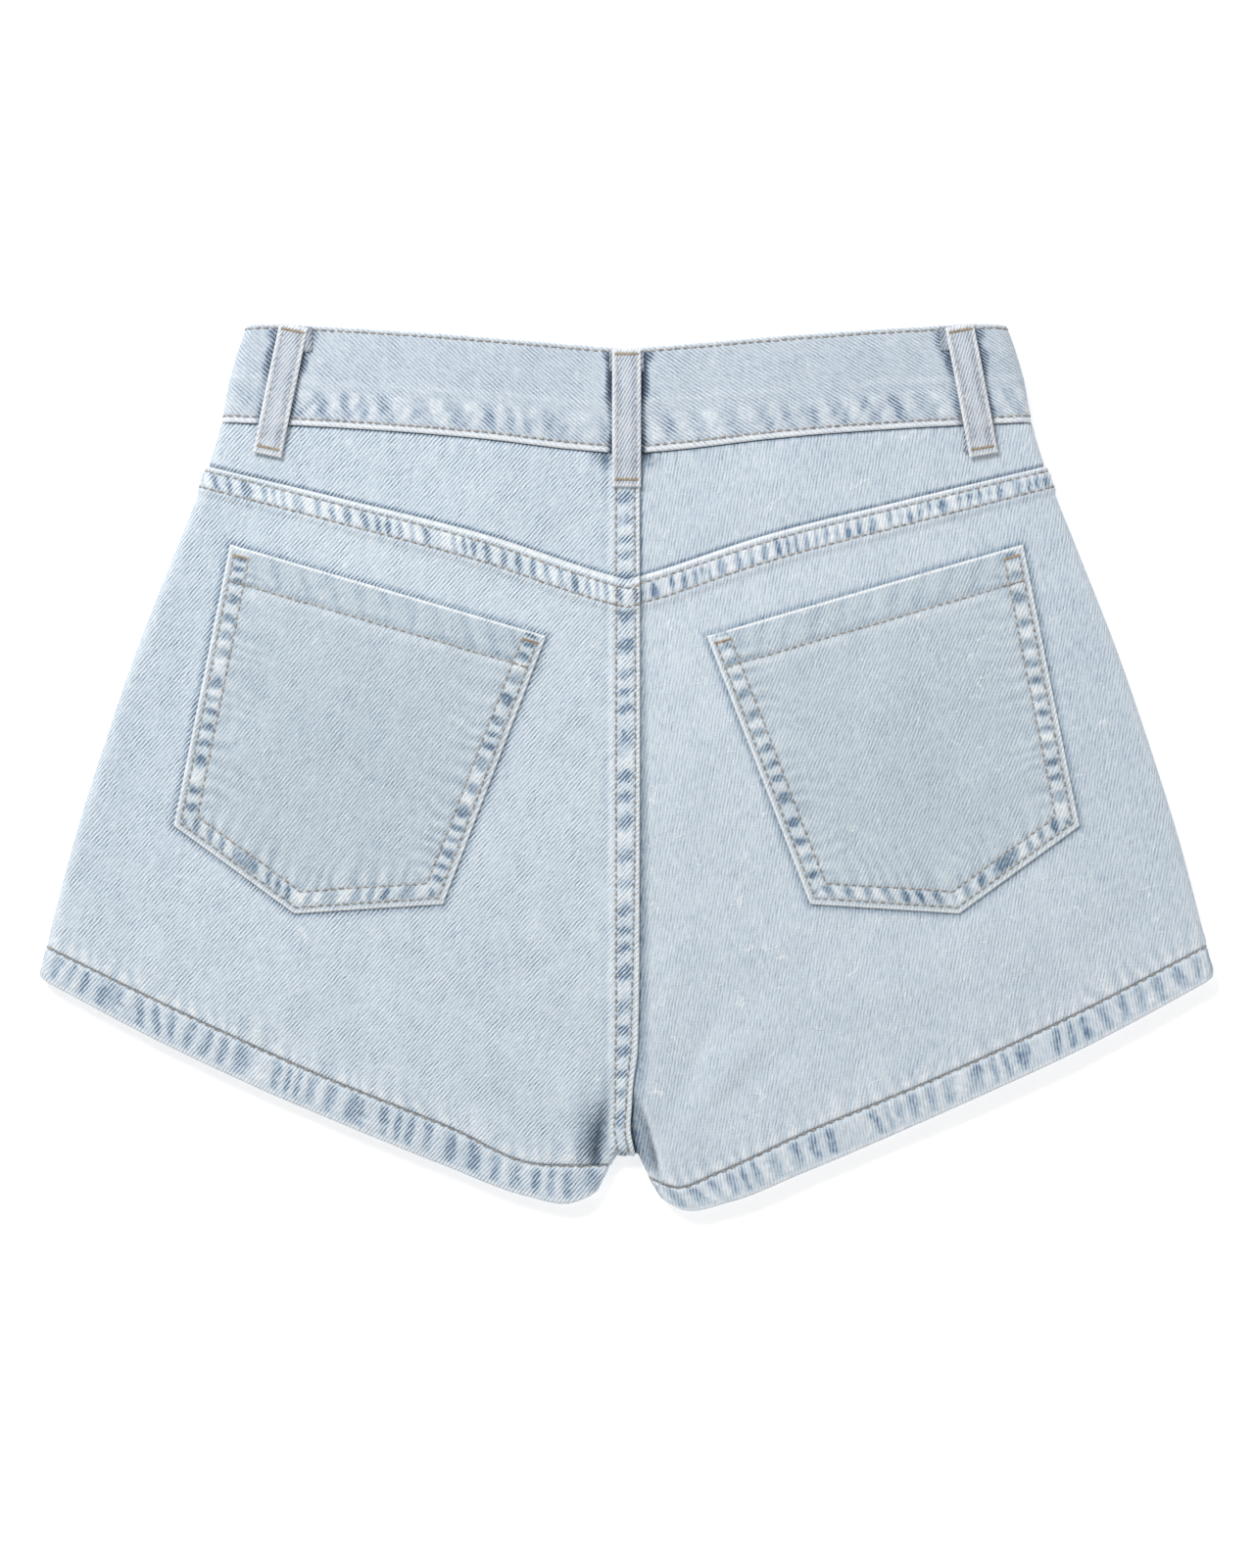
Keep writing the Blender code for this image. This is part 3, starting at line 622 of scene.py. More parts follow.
PANEL_LEFT = denim("denim_panel_left", 48, LEFT_COLOURS, twill=0.85, fade=0.01)
PANEL_RIGHT = denim("denim_panel_right", 80, RIGHT_COLOURS, twill=0.32, fade=0.02, fibre=0.54,
                    crackle=0.2)
POCKET_LEFT = denim("denim_pocket_left", 50, POCKET_COLOURS, twill=0.55, fade=-0.02, fibre=0.42)
POCKET_RIGHT = denim("denim_pocket_right", 68, POCKET_COLOURS, twill=0.34, crackle=0.2, fibre=0.42)
BAND = denim("denim_band", 143, BAND_COLOURS, twill=0.75, even=0.6, fade=-0.03, crackle=0.08)
LOOP = denim("denim_loop", 62, LOOP_COLOURS, twill=0.8, pitch=1.3, even=0.7, fade=-0.03, crackle=0.0)
HEM_LEFT = denim("denim_hem_left", 48, LEFT_COLOURS, twill=0.9, fade=0.01, even=0.6)
HEM_RIGHT = denim("denim_hem_right", 100, RIGHT_COLOURS, twill=0.42, fade=0.03, even=0.4)
FINISHES = {
    # kind: finish of the left leg, of the right leg
    "panel": (PANEL_LEFT, PANEL_RIGHT),
    "pocket": (POCKET_LEFT, POCKET_RIGHT),
    "hem": (HEM_LEFT, HEM_RIGHT),
}
print("denim finishes made")

# %% Thread and brass


def thread(name, light, shade):
    """Twisted thread: two colours mixed by a fine noise, with a small bump."""
    made, tree, shader = new_material(name, 0.7)
    place = add(tree, "TexCoord").outputs["Object"]
    noise = add(tree, "TexNoise", {"Vector": place, "Scale": 900.0, "Detail": 2.0}).outputs["Fac"]
    painted(tree, shader, ramp(tree, noise, ((0.35, shade), (0.65, light))), noise, 0.4, 0.0001)
    return made


def brass(name):
    """Aged brass: one noise varies its colour, from dark to pale, and its roughness."""
    made, tree, shader = new_material(name, 0.35, metallic=1.0)
    place = add(tree, "TexCoord").outputs["Object"]
    noise = add(tree, "TexNoise", {"Vector": place, "Scale": 420.0, "Detail": 3.0}).outputs["Fac"]
    painted(tree, shader, ramp(tree, noise, ((0, (140, 112, 74)), (1, (196, 166, 116)))))
    rough = add(tree, "MapRange", {"Value": noise, "To Min": 0.25, "To Max": 0.5}).outputs[0]
    tree.links.new(rough, shader.inputs["Roughness"])
    return made


THREAD = thread("thread_grey_beige", (182, 177, 171), (130, 125, 122))
LOOP_THREAD = thread("thread_pale", (194, 190, 187), (162, 158, 157))
TACK_THREAD = thread("thread_tan", (194, 180, 158), (152, 134, 112))
BRASS = brass("brass_aged")

# %% [markdown]
# ## From a grid to a piece
#
# The grid becomes quads, Solidify gives the cloth its wall inwards, and the piece takes over from its
# solid. Details such as roping and grooves move the points along the cloth's own normals first, so
# they keep their depth where the cloth turns round a fold.


# %% Make a piece
TABLE = -0.4
DOUBLED_WALL = 2.2
made_pieces = {}


def new_piece(name, points, faces, finish, node=None):
    """A smooth mesh of points in millimetres, on the one body, in place of its node if it has one."""
    mesh = bpy.data.meshes.new(name)
    mesh.from_pydata((np.reshape(points, (-1, 3)) * MM).tolist(), [], faces)
    mesh.shade_smooth()
    mesh.materials.append(finish)
    piece = bpy.data.objects.new(name, mesh)
    bpy.context.scene.collection.objects.link(piece)
    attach(piece, "root")
    if node:
        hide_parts(node)
    print(f"{name}: {len(faces)} faces")
    return piece


def cloth(name, grid, layers, flat, wall, finish, slot, node=None, up=True, ring=False):
    """A sheet: the grid moved out along its normals by its relief, with its colour numbers and painted
    shade and its flat place.
    """
    relief, dye_and_shade = layers[0], np.moveaxis(layers[1:], 0, -1)
    points = grid + outward(grid, up, ring) * relief[..., None]
    points[..., 2] = np.maximum(points[..., 2], TABLE + 0.1)
    number = np.arange(relief.size).reshape(relief.shape)
    if ring:
        number = np.concatenate([number, number[:, :1]], axis=1)
    corners = np.arange(number.size).reshape(number.shape)

    def quads_of(n):
        """Quads between neighbouring rows and columns of the numbers."""
        return np.stack([n[:-1, :-1], n[1:, :-1], n[1:, 1:], n[:-1, 1:]], axis=-1).reshape(-1, 4)

    quads, loops = quads_of(number), quads_of(corners)
    first = points.reshape(-1, 3)[quads[:3]]
    rises = np.cross(first[:, 1] - first[:, 0], first[:, 2] - first[:, 1])[:, 2].sum() > 0
    if rises != up:
        quads, loops = quads[:, ::-1], loops[:, ::-1]
    piece = new_piece(name, points, quads.tolist(), finish, node)
    place = flat.reshape(-1, 2)[loops.ravel()]
    piece.data.uv_layers.new(name="flat").data.foreach_set("uv", place.ravel())
    piece.data.attributes.new("dye_and_shade", "FLOAT_VECTOR", "POINT").data.foreach_set("vector", dye_and_shade.ravel())
    solid = piece.modifiers.new("wall", "SOLIDIFY")
    solid.thickness = wall * MM
    solid.offset = -1
    made_pieces[name] = {"object": piece, "points": points, "normals": outward(points, up, ring)}


def leg_cloth(name, leg, side, kind, grid, layers, flat, wall, **how):
    """A leg's sheet: worked out in a and y, and mirrored to its own side of the centre line."""
    cloth(f"{name}_{leg}_cloth", grid * (side, 1, 1), layers, flat * (side, 1), wall,
          FINISHES[kind][side > 0], "denim_" + kind, f"{name}_{leg}", **how)


# %% [markdown]
# ## Back panels
#
# The two big pieces of the seat. The left one laps over the right at the seat seam, and both lap over
# the yokes with a felled seam: a folded edge with two rows of stitching and the cloth roped between.
# Each is one patch between the yoke seam, the seat seam, the hem line and the side, and it carries on
# round the side fold to the side seam underneath.

# %% Stations of the panel grids
ROW_1, ROW_2 = 2.5, 10.9
LAP_LIFT = 0.95
SEAT_UNDERLAP = 3.5
PANEL_WALL = 0.85
HEM_LEAN = 0.9
PANEL_ROWS = YOKE_SEAM[0][1] - np.concatenate([
    (0, 0.18, 0.45, 0.9), np.arange(1.6, 20, 0.95), np.arange(20.6, 206, 1.9),
    np.linspace(207, 258.2, 46)])
CROTCH_COLUMNS = 15
ACROSS = np.concatenate([np.linspace(0, 0.1, 24), np.linspace(0.1, 1, 128)[1:]])


def panel_edges(leg, top_table, stations, inner_a, inset):
    """The four edge curves of a panel and the shares of its columns and rows."""
    first = inner_a(stations)
    starts = np.linspace(0, 1, CROTCH_COLUMNS)[:, None]
    bottom_crotch = np.concatenate([first[-1] * (1 - starts) + CROTCH_HALF_WIDTH * starts,
                                    np.full_like(starts, CROTCH_Y)], axis=1)
    hem = hem_points(leg, 0, ACROSS)
    bottom = np.concatenate([bottom_crotch, hem])
    top_crotch = first[0] * (1 - starts) + CROTCH_HALF_WIDTH * starts
    top_crotch = np.concatenate([top_crotch, seam_y(top_table, np.abs(top_crotch))], axis=1)
    top = np.concatenate([top_crotch, seam_points(top_table, ACROSS, inset, start=hem[0, 0])])
    share_across = np.concatenate([[0], np.cumsum(np.abs(np.diff(bottom[:, 0])))])
    share_across /= share_across[-1]
    inner = np.stack([first, stations], axis=-1)
    inner[0] = top[0]
    share_down = (stations[0] - stations) / (stations[0] - CROTCH_Y)
    outer_y = top[-1, 1] + share_down * (bottom[-1, 1] - top[-1, 1])
    outer = np.stack([half_width(outer_y) - inset, outer_y], axis=-1)
    outer[0], outer[-1] = top[-1], bottom[-1]
    return top, bottom, inner, outer, share_across, share_down


def seat_x(y, column):
    """x of a line of the seat seam: its lapped edge or one of its stitch rows."""
    return falling(SEAT, y, column)


SIDE_LEAN = math.atan2((POCKET_TOP - POCKET_BOTTOM) / 2, POCKET_DEPTH)
POINT_LEAN = math.atan2(POCKET_POINT, POCKET_BOTTOM / 2)


def from_pocket_edges(across, down):
    """Distances in from the two sides, the two lower edges and the top of the pocket."""
    from_side = (POCKET_TOP / 2 - down * math.tan(SIDE_LEAN) - np.abs(across)) * math.cos(SIDE_LEAN)
    point = POCKET_DEPTH + POCKET_POINT - np.abs(across) * math.tan(POINT_LEAN)
    return from_side, (point - down) * math.cos(POINT_LEAN), down


def outside_pocket(a, y):
    """How far a point of the leg is outside the pocket; less than 0 under it."""
    off_a, off_y = a - POCKET_CENTRE[0], y - POCKET_CENTRE[1]
    across = off_a * math.cos(POCKET_TILT) + off_y * math.sin(POCKET_TILT)
    down = off_a * math.sin(POCKET_TILT) - off_y * math.cos(POCKET_TILT)
    return -np.min(from_pocket_edges(across, down), axis=0)


# %% Seat seam shared by the panels and the yokes
def seat_seam(side, x, y, layers):
    """Adds the seat seam, where the left side laps over the right: lift, grooves, roping, fading and
    painted shade.
    """
    detail, bluer, whiter, painted_shade = layers
    edge, near, far = (seat_x(y, k) for k in (1, 2, 3))
    if side < 0:
        inside = edge - x
        detail += LAP_LIFT * ease(x, -8.6, -6.4) + rolled(inside) * (inside < 2)
        detail += groove(x, near) + groove(x, far)
        painted_shade += 0.12 * row_shade(x, near, far)
        roped(layers, roping(-y + 400, x - far, 0.2, near - far - 0.2, 11.5, 0.25, 31), 0.30, 0.85, 0.45)
        whiter += 0.85 * ease(inside, 1.9, 0.9) * (inside < 3) + 0.35 * bell(x, -6.9, 1.0)
        bluer += 0.22 * bell(x, -9.6, 1.6) * cloud(x, y, 9, 33)
        pleated(layers, puckers(y, -x, 6.5, 5.0, 8.0, 34), 0.14, 0.12)
    else:
        beyond = x - edge
        detail -= 0.45 * ease(beyond, 1.8, 0.0)
        # painted shadow cast by the lapped edge on the cloth just beside it, bluer and dimmed
        bluer += 0.55 * ease(beyond, 2.2, 0.6)
        painted_shade += 0.42 * ease(beyond, 1.4, 0.3)
        pleated(layers, puckers(y + 60, beyond, 1.0, 6.0, 9.0, 35), 0.16, 0.14)


# %% Back panels
def back_panel(leg, side):
    """A patch between the yoke seam, the seat seam, the hem line and the side, and round the fold."""
    def inner_a(y):
        """The left panel starts at its lapped edge, the right one a little under it."""
        return -seat_x(y, 1) if side < 0 else seat_x(y, 1) - SEAT_UNDERLAP

    plan = patch(*panel_edges(leg, YOKE_SEAM, PANEL_ROWS, inner_a, FOLD_RADIUS))
    grid, flat = over_the_back(leg, plan)
    a, y = grid[..., 0], grid[..., 1]
    x = a * side
    s = length_along(grid)
    t = np.broadcast_to((PANEL_ROWS[0] - PANEL_ROWS)[:, None], s.shape)
    above_hem = (y - y[-1:]) * HEM_LEAN
    out = a > 7.0
    detail, bluer, whiter, painted_shade = layers = empty_layers(grid)

    # the seam to the yoke
    lap = ease(t, 15.5, 12.2) * (1 if side < 0 else ease(a, 4.5, 8.0))
    detail += LAP_LIFT * lap + rolled(t) + groove(t, ROW_1) + groove(t, ROW_2)
    pitch = 6.6 if side < 0 else 5.4
    blocks = roping(s, t, ROW_1 + 0.2, ROW_2 - 0.1, pitch, -0.12 * side, 40 + side)
    roped(layers, blocks, 0.42, 0.85, 0.75, 0.06)
    painted_shade += 0.13 * row_shade(t, ROW_1, ROW_2)
    whiter += 0.80 * ease(t, 1.5, 0.6)
    pleated(layers, puckers(s, t, ROW_2 + 0.6, 5.0, pitch, 44 + side), 0.12, 0.20, 0.16)

    seat_seam(side, x, y, layers)

    # above the hem, with painted shade just above its edge
    hem_s = s[-1:] + 0.25 * above_hem * (cloud(s, y, 12, 58) - 0.5)
    pleated(layers, puckers(hem_s, above_hem, 0.3, 5.5, 8.0, 50 + side), 0.50, 0.85, 0.35, out)
    detail += groove(above_hem, 0, 0.5, 1.1) * out
    whiter += 0.25 * bell(above_hem, 2.0, 2.0) * out
    painted_shade += 0.28 * ease(above_hem, 0.9, 0.1) * out

    # the tuck beside the crotch: its hollow, and on the right the low strip below the crease, bluer and
    # dimmed as painted shade
    centre, _, depth = tuck_at(y)
    if side < 0:
        deep = ease(y, -138, -172) * ease(y, -181, -174)
        hollow = bell(a, centre + 0.6, 2.8) * ease(depth, 0.2, 4.0)
        halo = bell(a, 15.0 + 0.10 * (y + 174), 6.0) * deep
        painted_shade += 0.36 * hollow + 0.24 * halo
        bluer += 0.60 * hollow + 0.66 * halo
        whiter += 0.35 * bell(a, centre - 5.0, 1.6) * deep
    else:
        beyond = a - falling(CREST, y, 1)
        deep = ease(falling(CREST, y, 2), 0.1, 2.6) * ease(beyond, 0.6, -0.6)
        bluer += 0.45 * deep
        painted_shade += 0.22 * deep + 0.35 * deep * bell(beyond, -1.2, 1.4) * ease(y, -166, -172)
        wrinkles = np.cos(2 * math.pi * (y + 0.5 * a) / 3.1 + 4 * cloud(x, y, 6, 52))
        pleated(layers, wrinkles, 0.22, 0.25, where=deep)
        whiter += 0.22 * bell(beyond, 1.0, 0.9) * ease(-y, 148, 156)

    # the side fold, and a painted shadow round the pocket
    whiter += 0.20 * bell(a, half_width(y) - 2, 3.0)
    bluer += 0.10 * ease(half_width(y) - a, 60, 14) * ease(y, -90, -20)
    pocket_shadow = bell(outside_pocket(a, y), 0.3, 1.7) * (grid[..., 2] > 7)
    bluer += 0.50 * pocket_shadow
    painted_shade += 0.10 * pocket_shadow
    leg_cloth("back_panel", leg, side, "panel", grid, layers, flat, PANEL_WALL)


for leg, side in LEGS:
    back_panel(leg, side)

# %% [markdown]
# ## Yokes
#
# The two wedge-shaped pieces between the waistband and the panels. They run 3 mm under the panels'
# folded edges. The left one laps over the right at the centre, as the panels do.


# %% Yokes
YOKE_DOWN = np.concatenate([np.linspace(0, 0.9, 44), np.linspace(0.9, 1, 8)[1:]])
YOKE_ACROSS = np.concatenate([np.linspace(0, 0.06, 20), np.linspace(0.06, 1, 132)[1:]])
YOKE_UNDERLAP = 3.0


def yoke(leg, side):
    """Straight lines from the band seam down to the yoke seam, and round the side fold."""
    start = -seat_x(100, 1) if side < 0 else seat_x(100, 1) - SEAT_UNDERLAP
    top = seam_points(BACK_BAND_SEAM, YOKE_ACROSS, FOLD_RADIUS, start)
    bottom = seam_points(YOKE_SEAM, YOKE_ACROSS, FOLD_RADIUS, start)
    for line, table in ((top, BACK_BAND_SEAM), (bottom, YOKE_SEAM)):
        line[:, 1] = seam_y(table, np.abs(line[:, 0]))
    bottom[:, 1] -= YOKE_UNDERLAP
    down = YOKE_DOWN[:, None, None]
    grid, flat = over_the_back(leg, top * (1 - down) + bottom * down)
    x, y = grid[..., 0] * side, grid[..., 1]
    a = np.abs(x)
    below_band = y[:1] - y
    above_panel = y - (y[-1:] + YOKE_UNDERLAP)
    detail, bluer, whiter, painted_shade = layers = empty_layers(grid)
    # a dip with painted shadow, bluer and dimmed, just above the panel's folded edge and just below the
    # band
    detail -= 0.5 * ease(above_panel, 1.6, 0.2) + 0.35 * ease(below_band, 1.5, 0.0)
    bluer += 0.50 * ease(above_panel, 2.4, 0.6) + 0.42 * ease(below_band, 1.7, 0.4)
    painted_shade += 0.22 * ease(above_panel, 1.4, 0.3) + 0.40 * ease(below_band, 1.2, 0.2)
    seat_seam(side, x, y, layers)
    pleats = puckers(length_along(grid), below_band, 0.3, 8.0, 6.0, 60 + side)
    pleated(layers, pleats * (0.6 + 1.6 * bell(a, 10, 16)), 0.26, 0.22, 0.24, most=1.5)
    # beside the centre loop the cloth kept its blue, and painted shade from the loop dims it
    beside_loop = bell(a, 10.0, 3.4) * ease(below_band, 8.5, 1.0)
    bluer += 0.05 + 1.1 * beside_loop * (0.4 + cloud(x, y, 3, 63))
    painted_shade += 0.30 * beside_loop
    whiter += 0.10 * bell(a, half_width(y) - 2, 3.5)
    leg_cloth("back_yoke", leg, side, "panel", grid, layers, flat, PANEL_WALL)


for leg, side in LEGS:
    yoke(leg, side)

# %% [markdown]
# ## Hems
#
# The leg edges are turned up twice inside and held by one row of stitches. Washing twists the turned
# cloth, so it ropes: slanting ridges fade white and the dips between stay blue. A hem is a closed
# ring: over the back, round the side fold and back under the front.

# %% Hems
HEM_DEPTH = 16.0
HEM_DOWN = np.concatenate([np.linspace(0, 0.9, 17), (0.93, 0.955, 0.975, 0.99, 1)])
HEM_ACROSS = np.linspace(0, 1, 230)


def hem(leg, side):
    """A ring: straight lines from the stitched line to the edge, over the back, round and under."""
    down = HEM_DOWN[:, None, None]
    plan = hem_points(leg, 0, HEM_ACROSS) * (1 - down) + hem_points(leg, 1, HEM_ACROSS) * down
    a, y = plan[..., 0], plan[..., 1]
    top = back_height(leg, a, y) + HEM_PROUD * rounding(leg, a, y) * ease(HEM_DOWN, 0, 0.15)[:, None]
    top[:, 0] = FOLD_RADIUS
    top[:, -1] = 2 * HEM_RADIUS
    over, flat = round_the_side(raised(plan, top), 0)
    under = raised(plan, front_height(leg, a, y))[:, -2:0:-1]
    grid = np.concatenate([over, under], axis=1)
    turned = np.stack([2 * flat[:, -1:, 0] - under[..., 0], under[..., 1]], axis=-1)
    flat = np.concatenate([flat, turned, turned[:, -1:] + (1.2, 0)], axis=1)
    s = length_along(grid)[:1] + 0 * a[:, :1]
    t = HEM_DEPTH * HEM_DOWN[:, None] + 0 * s
    slant = 0.9 * (cloud(s, 5, 22, 77 + side) - 0.5)
    blue, white = roping(s + 20, t, -1.0, HEM_DEPTH - 0.5, 9.4, slant, 70 + side, soft=4.0)
    fine, _ = roping(s, t, 0.0, HEM_DEPTH - 3, 5.3, slant - 0.4, 74 + side, soft=3.0)
    ends = ease(s, 0.0, 6.0) * ease(s.max() - s, 0.0, 6.0)
    lower = ease(t, HEM_DEPTH + 1.0, HEM_DEPTH - 3.0)
    body = ease(t, 0.6, 2.2) * ease(t, HEM_DEPTH - 0.3, HEM_DEPTH - 3.0)
    detail, bluer, whiter, painted_shade = layers = empty_layers(grid)
    detail += 0.60 * (white - 0.5) * ends * lower + rolled(HEM_DEPTH - t, 1.3) + groove(t, 0, 0.5, 1.2)
    bluer += (0.58 * blue + 0.12 * fine + 0.06) * body
    whiter += 0.50 * white * body + 0.50 * ease(t, HEM_DEPTH - 2.6, HEM_DEPTH - 0.8)
    # painted shade along the top of the hem, by its stitch row
    painted_shade += 0.25 * ease(t, 0.9, 0.1)
    leg_cloth("leg_hem", leg, side, "hem", grid, layers, flat, DOUBLED_WALL, ring=True)


for leg, side in LEGS:
    hem(leg, side)

# %% [markdown]
# ## Waistband
#
# One doubled strip from the front opening round the back to the opening again. It is stitched along
# both edges, and its lower half is mottled where the seam inside has puckered it. Beside each belt
# loop the cloth was sheltered by the loop and kept its blue, and painted shade from the loop falls on it.


# %% Waistband
BAND_DEPTH = 46.0
BAND_ROWS = (2.1, 3.1)
BAND_DOWN = np.concatenate([
    (0, 0.004, 0.01, 0.02), np.linspace(0.035, 0.965, 40), (0.98, 0.99, 0.996, 1)])
BAND_ACROSS = np.linspace(0, 1, 172)
BAND_FRONT = np.linspace(0.03, 0.99, 90)[::-1]


def band_rows(top_table, seam_table, fractions, inset):
    """Straight lines from the top edge of the band down to its seam."""
    top = seam_points(top_table, fractions, inset)
    seam = seam_points(seam_table, fractions, inset)
    down = BAND_DOWN[:, None, None]
    return top * (1 - down) + seam * down


def waistband():
    """Under end, right front, back, left front and over end side by side, one grid from end to end."""
    radius = FOLD_RADIUS + BAND_EXTRA / 2
    back = band_rows(BACK_TOP, BACK_BAND_SEAM, BAND_ACROSS, radius)
    halves = []
    for leg, _ in LEGS[::-1]:
        heights = back_height(leg, back[..., 0], back[..., 1]) + BAND_EXTRA
        heights[:, -1] = 2 * radius
        over, _ = round_the_side(raised(back, heights), 0)
        front = band_rows(FRONT_TOP, FRONT_BAND_SEAM, BAND_FRONT, radius)
        under = raised(front, front_lift(front[..., 0]))
        halves.append(np.concatenate([over, under], axis=1))
    right, left = halves[0][:, ::-1], halves[1][:, 1:] * (-1, 1, 1)
    on_front = np.arange(left.shape[1]) >= left.shape[1] - len(BAND_FRONT)
    left[..., 2] += OVERLAP_LIFT * ease(-left[..., 0], 46, 17) * on_front
    ends = []
    for side, reach, lift in ((1, OVER_END, 0), (-1, UNDER_END, OVERLAP_LIFT)):
        a = np.linspace(0, reach, 12)
        top_y, seam = seam_y(FRONT_TOP, a), seam_y(FRONT_BAND_SEAM, a)
        y = top_y + BAND_DOWN[:, None] * (seam - top_y)
        ends.append(np.stack([-side * a + 0 * y, y, np.full(y.shape, front_lift(0) + lift)], axis=-1))
    grid = np.concatenate([ends[0][:, ::-1], right, left, ends[1]], axis=1)
    x, y = grid[..., 0], grid[..., 1]
    s = length_along(grid)[20:21] + 0 * x
    t = BAND_DEPTH * BAND_DOWN[:, None] + 0 * s
    up = BAND_DEPTH - t
    on_back = grid[..., 2] > FOLD_RADIUS
    flat = np.stack([-s, -t], axis=-1)
    detail, bluer, whiter, painted_shade = layers = empty_layers(grid)
    detail += rolled(t, 1.1) + rolled(up, 1.1)
    detail += groove(t, BAND_ROWS[0], 0.3) + groove(up, BAND_ROWS[1], 0.35)
    blue, white = roping(s, up, 2.2, 17.0, 12.5, -0.35, 80, soft=2.5)
    extra, more = roping(s + 40, up, 3.0, 13.0, 7.5, 0.5, 83, soft=2.5)
    patchy = 0.35 + 0.9 * cloud(s, 2 * t, 34, 86)
    detail += (0.30 * white + 0.14 * more) * patchy
    bluer += (0.36 * blue + 0.22 * extra) * patchy
    whiter += (0.42 * white + 0.22 * more) * patchy
    whiter += 0.65 * ease(t, 1.6, 0.4) + 1.1 * ease(up, 2.5, 1.5)
    line = bell(up, 19.0 + 3 * cloud(s, t, 30, 88), 1.4) * cloud(s, 9, 22, 87)
    detail += 0.25 * line
    whiter += 0.30 * line
    for top_x, top_y, end_x, end_y in BACK_LOOPS.values():
        share = np.clip((top_y - y) / (top_y - end_y), 0, 1)
        centre = top_x * (1 - share) + end_x * share
        away = np.abs(x - centre) - LOOP_WIDTH / 2
        force = 1.0 if top_x == 0 else 0.5
        near = (away > -4) * on_back * ease(t, 1.4, 3.2)
        reach = 6.5 * (0.45 + 0.9 * cloud(x + 50, y, 5, 90)) * (0.55 + 0.45 * ease(t, 30, 6))
        shaded = ease(away, reach, reach * 0.25) * near
        fades = 0.30 + 0.70 * np.maximum(ease(t, 30, 18), 0.7 * ease(t, 35, 41))
        bluer += force * 1.5 * shaded * fades
        whiter *= 1 - 0.9 * shaded * force
        # painted shade beside the loop, deepest at its edge
        painted_shade += force * near * (0.40 * shaded + 0.34 * ease(away, 2.8, 0.2)) * fades
    cloth("waistband_cloth", grid, layers, flat, DOUBLED_WALL, BAND, "denim_band", "waistband", up=False)


waistband()

# %% [markdown]
# ## Pockets
#
# Five-sided patches sewn on by two rows along the sides and the pointed bottom, with one row across
# the hemmed top. The top stays open. The edges stand up and have worn white, and between the rows the
# folded-in edge ropes. Inside the inner row small pleats run in from the stitches.


# %% Pockets
POCKET_ROWS = (2.9, 9.8)
POCKET_HEM = 15.8
POCKET_LIFT = 1.45


def edge_stations(count, fine=(0, 0.0012, 0.003, 0.006, 0.011)):
    """Stations from 0 to 1, packed at both ends where the folded edges are."""
    fine = np.array(fine)
    middle = np.linspace(0.018, 0.982, count)
    return np.concatenate([fine, middle[np.abs(middle - 0.5) < 0.5 - 1.2 * fine[-1]], 1 - fine[::-1]])


def pocket_place(across, down):
    """Plan place (a, y) of a point given across and down the pocket."""
    turn = (math.cos(POCKET_TILT), math.sin(POCKET_TILT))
    a = POCKET_CENTRE[0] + across * turn[0] + down * turn[1]
    y = POCKET_CENTRE[1] + across * turn[1] - down * turn[0]
    return a, y


def pocket(leg, side):
    """A grid from side to side and from the top to the pointed bottom, raised above its panel."""
    p = (2 * edge_stations(122) - 1)[None, :]
    q = edge_stations(118)[:, None]
    across = p * (POCKET_TOP * (1 - q) + POCKET_BOTTOM * q) / 2
    down = q * (POCKET_DEPTH + POCKET_POINT * (1 - np.abs(p)))
    a, y = pocket_place(across, down)
    grid = np.stack([a, y, back_height(leg, a, y) + POCKET_LIFT], axis=-1)
    from_side, from_point = (np.maximum(part, 0) for part in from_pocket_edges(across, down)[:2])
    t = np.minimum(from_side, from_point)
    s = np.where(from_side < from_point, down, POCKET_DEPTH + 63 - np.abs(across)) + 400 * (across > 0)
    detail, bluer, whiter, painted_shade = layers = empty_layers(grid)

    # the sewn edges
    edge = np.minimum(t, down)
    outer, inner = POCKET_ROWS
    detail += rolled(edge, 1.0) + groove(t, outer, 0.3) + groove(t, inner, 0.4)
    roped(layers, roping(s, t, outer + 0.2, inner - 0.1, 8.2, 0.1, 100 + side), 0.42, 0.72, 0.65, 0.05)
    painted_shade += 0.12 * row_shade(t, outer, inner) * ease(down, 2, 5)
    whiter += 0.95 * ease(edge, 1.6, 0.8)
    pleats = puckers(s, t, inner + 0.4, 9.0, 7.4, 104 + side)
    pleated(layers, pleats, 0.32, 0.30, 0.26, ease(down, 5.0, 12.0))

    # the hem across the top
    top = ease(t, 6, 11)
    painted_shade += 0.10 * row_shade(down, POCKET_HEM) * top
    detail += (groove(down, POCKET_HEM, 0.4) + 0.35 * ease(down, POCKET_HEM, POCKET_HEM - 2.5)) * top
    ripple = np.cos(2 * math.pi * (across + 0.5 * down) / 12 + 5 * cloud(across + 90, down, 24, 108))
    detail += 0.12 * ripple * ease(down, POCKET_HEM, POCKET_HEM - 3) * top
    bluer += 0.16 * np.clip(-ripple, 0, 1) * ease(down, POCKET_HEM + 1, POCKET_HEM - 4) * top
    whiter += 0.22 * bell(down, POCKET_HEM + 2.2, 1.8) * top * (0.4 + cloud(across + 90, down, 7, 109))
    bluer += 0.26 * bell(down, POCKET_HEM - 1.8, 1.5) * top * cloud(across + 90, down, 6, 110)
    bluer += 0.07 * bell(across, 0, 46) * bell(down, 76, 44)
    leg_cloth("back_pocket", leg, side, "pocket", grid, layers, grid[..., :2], 0.9)


for leg, side in LEGS:
    pocket(leg, side)

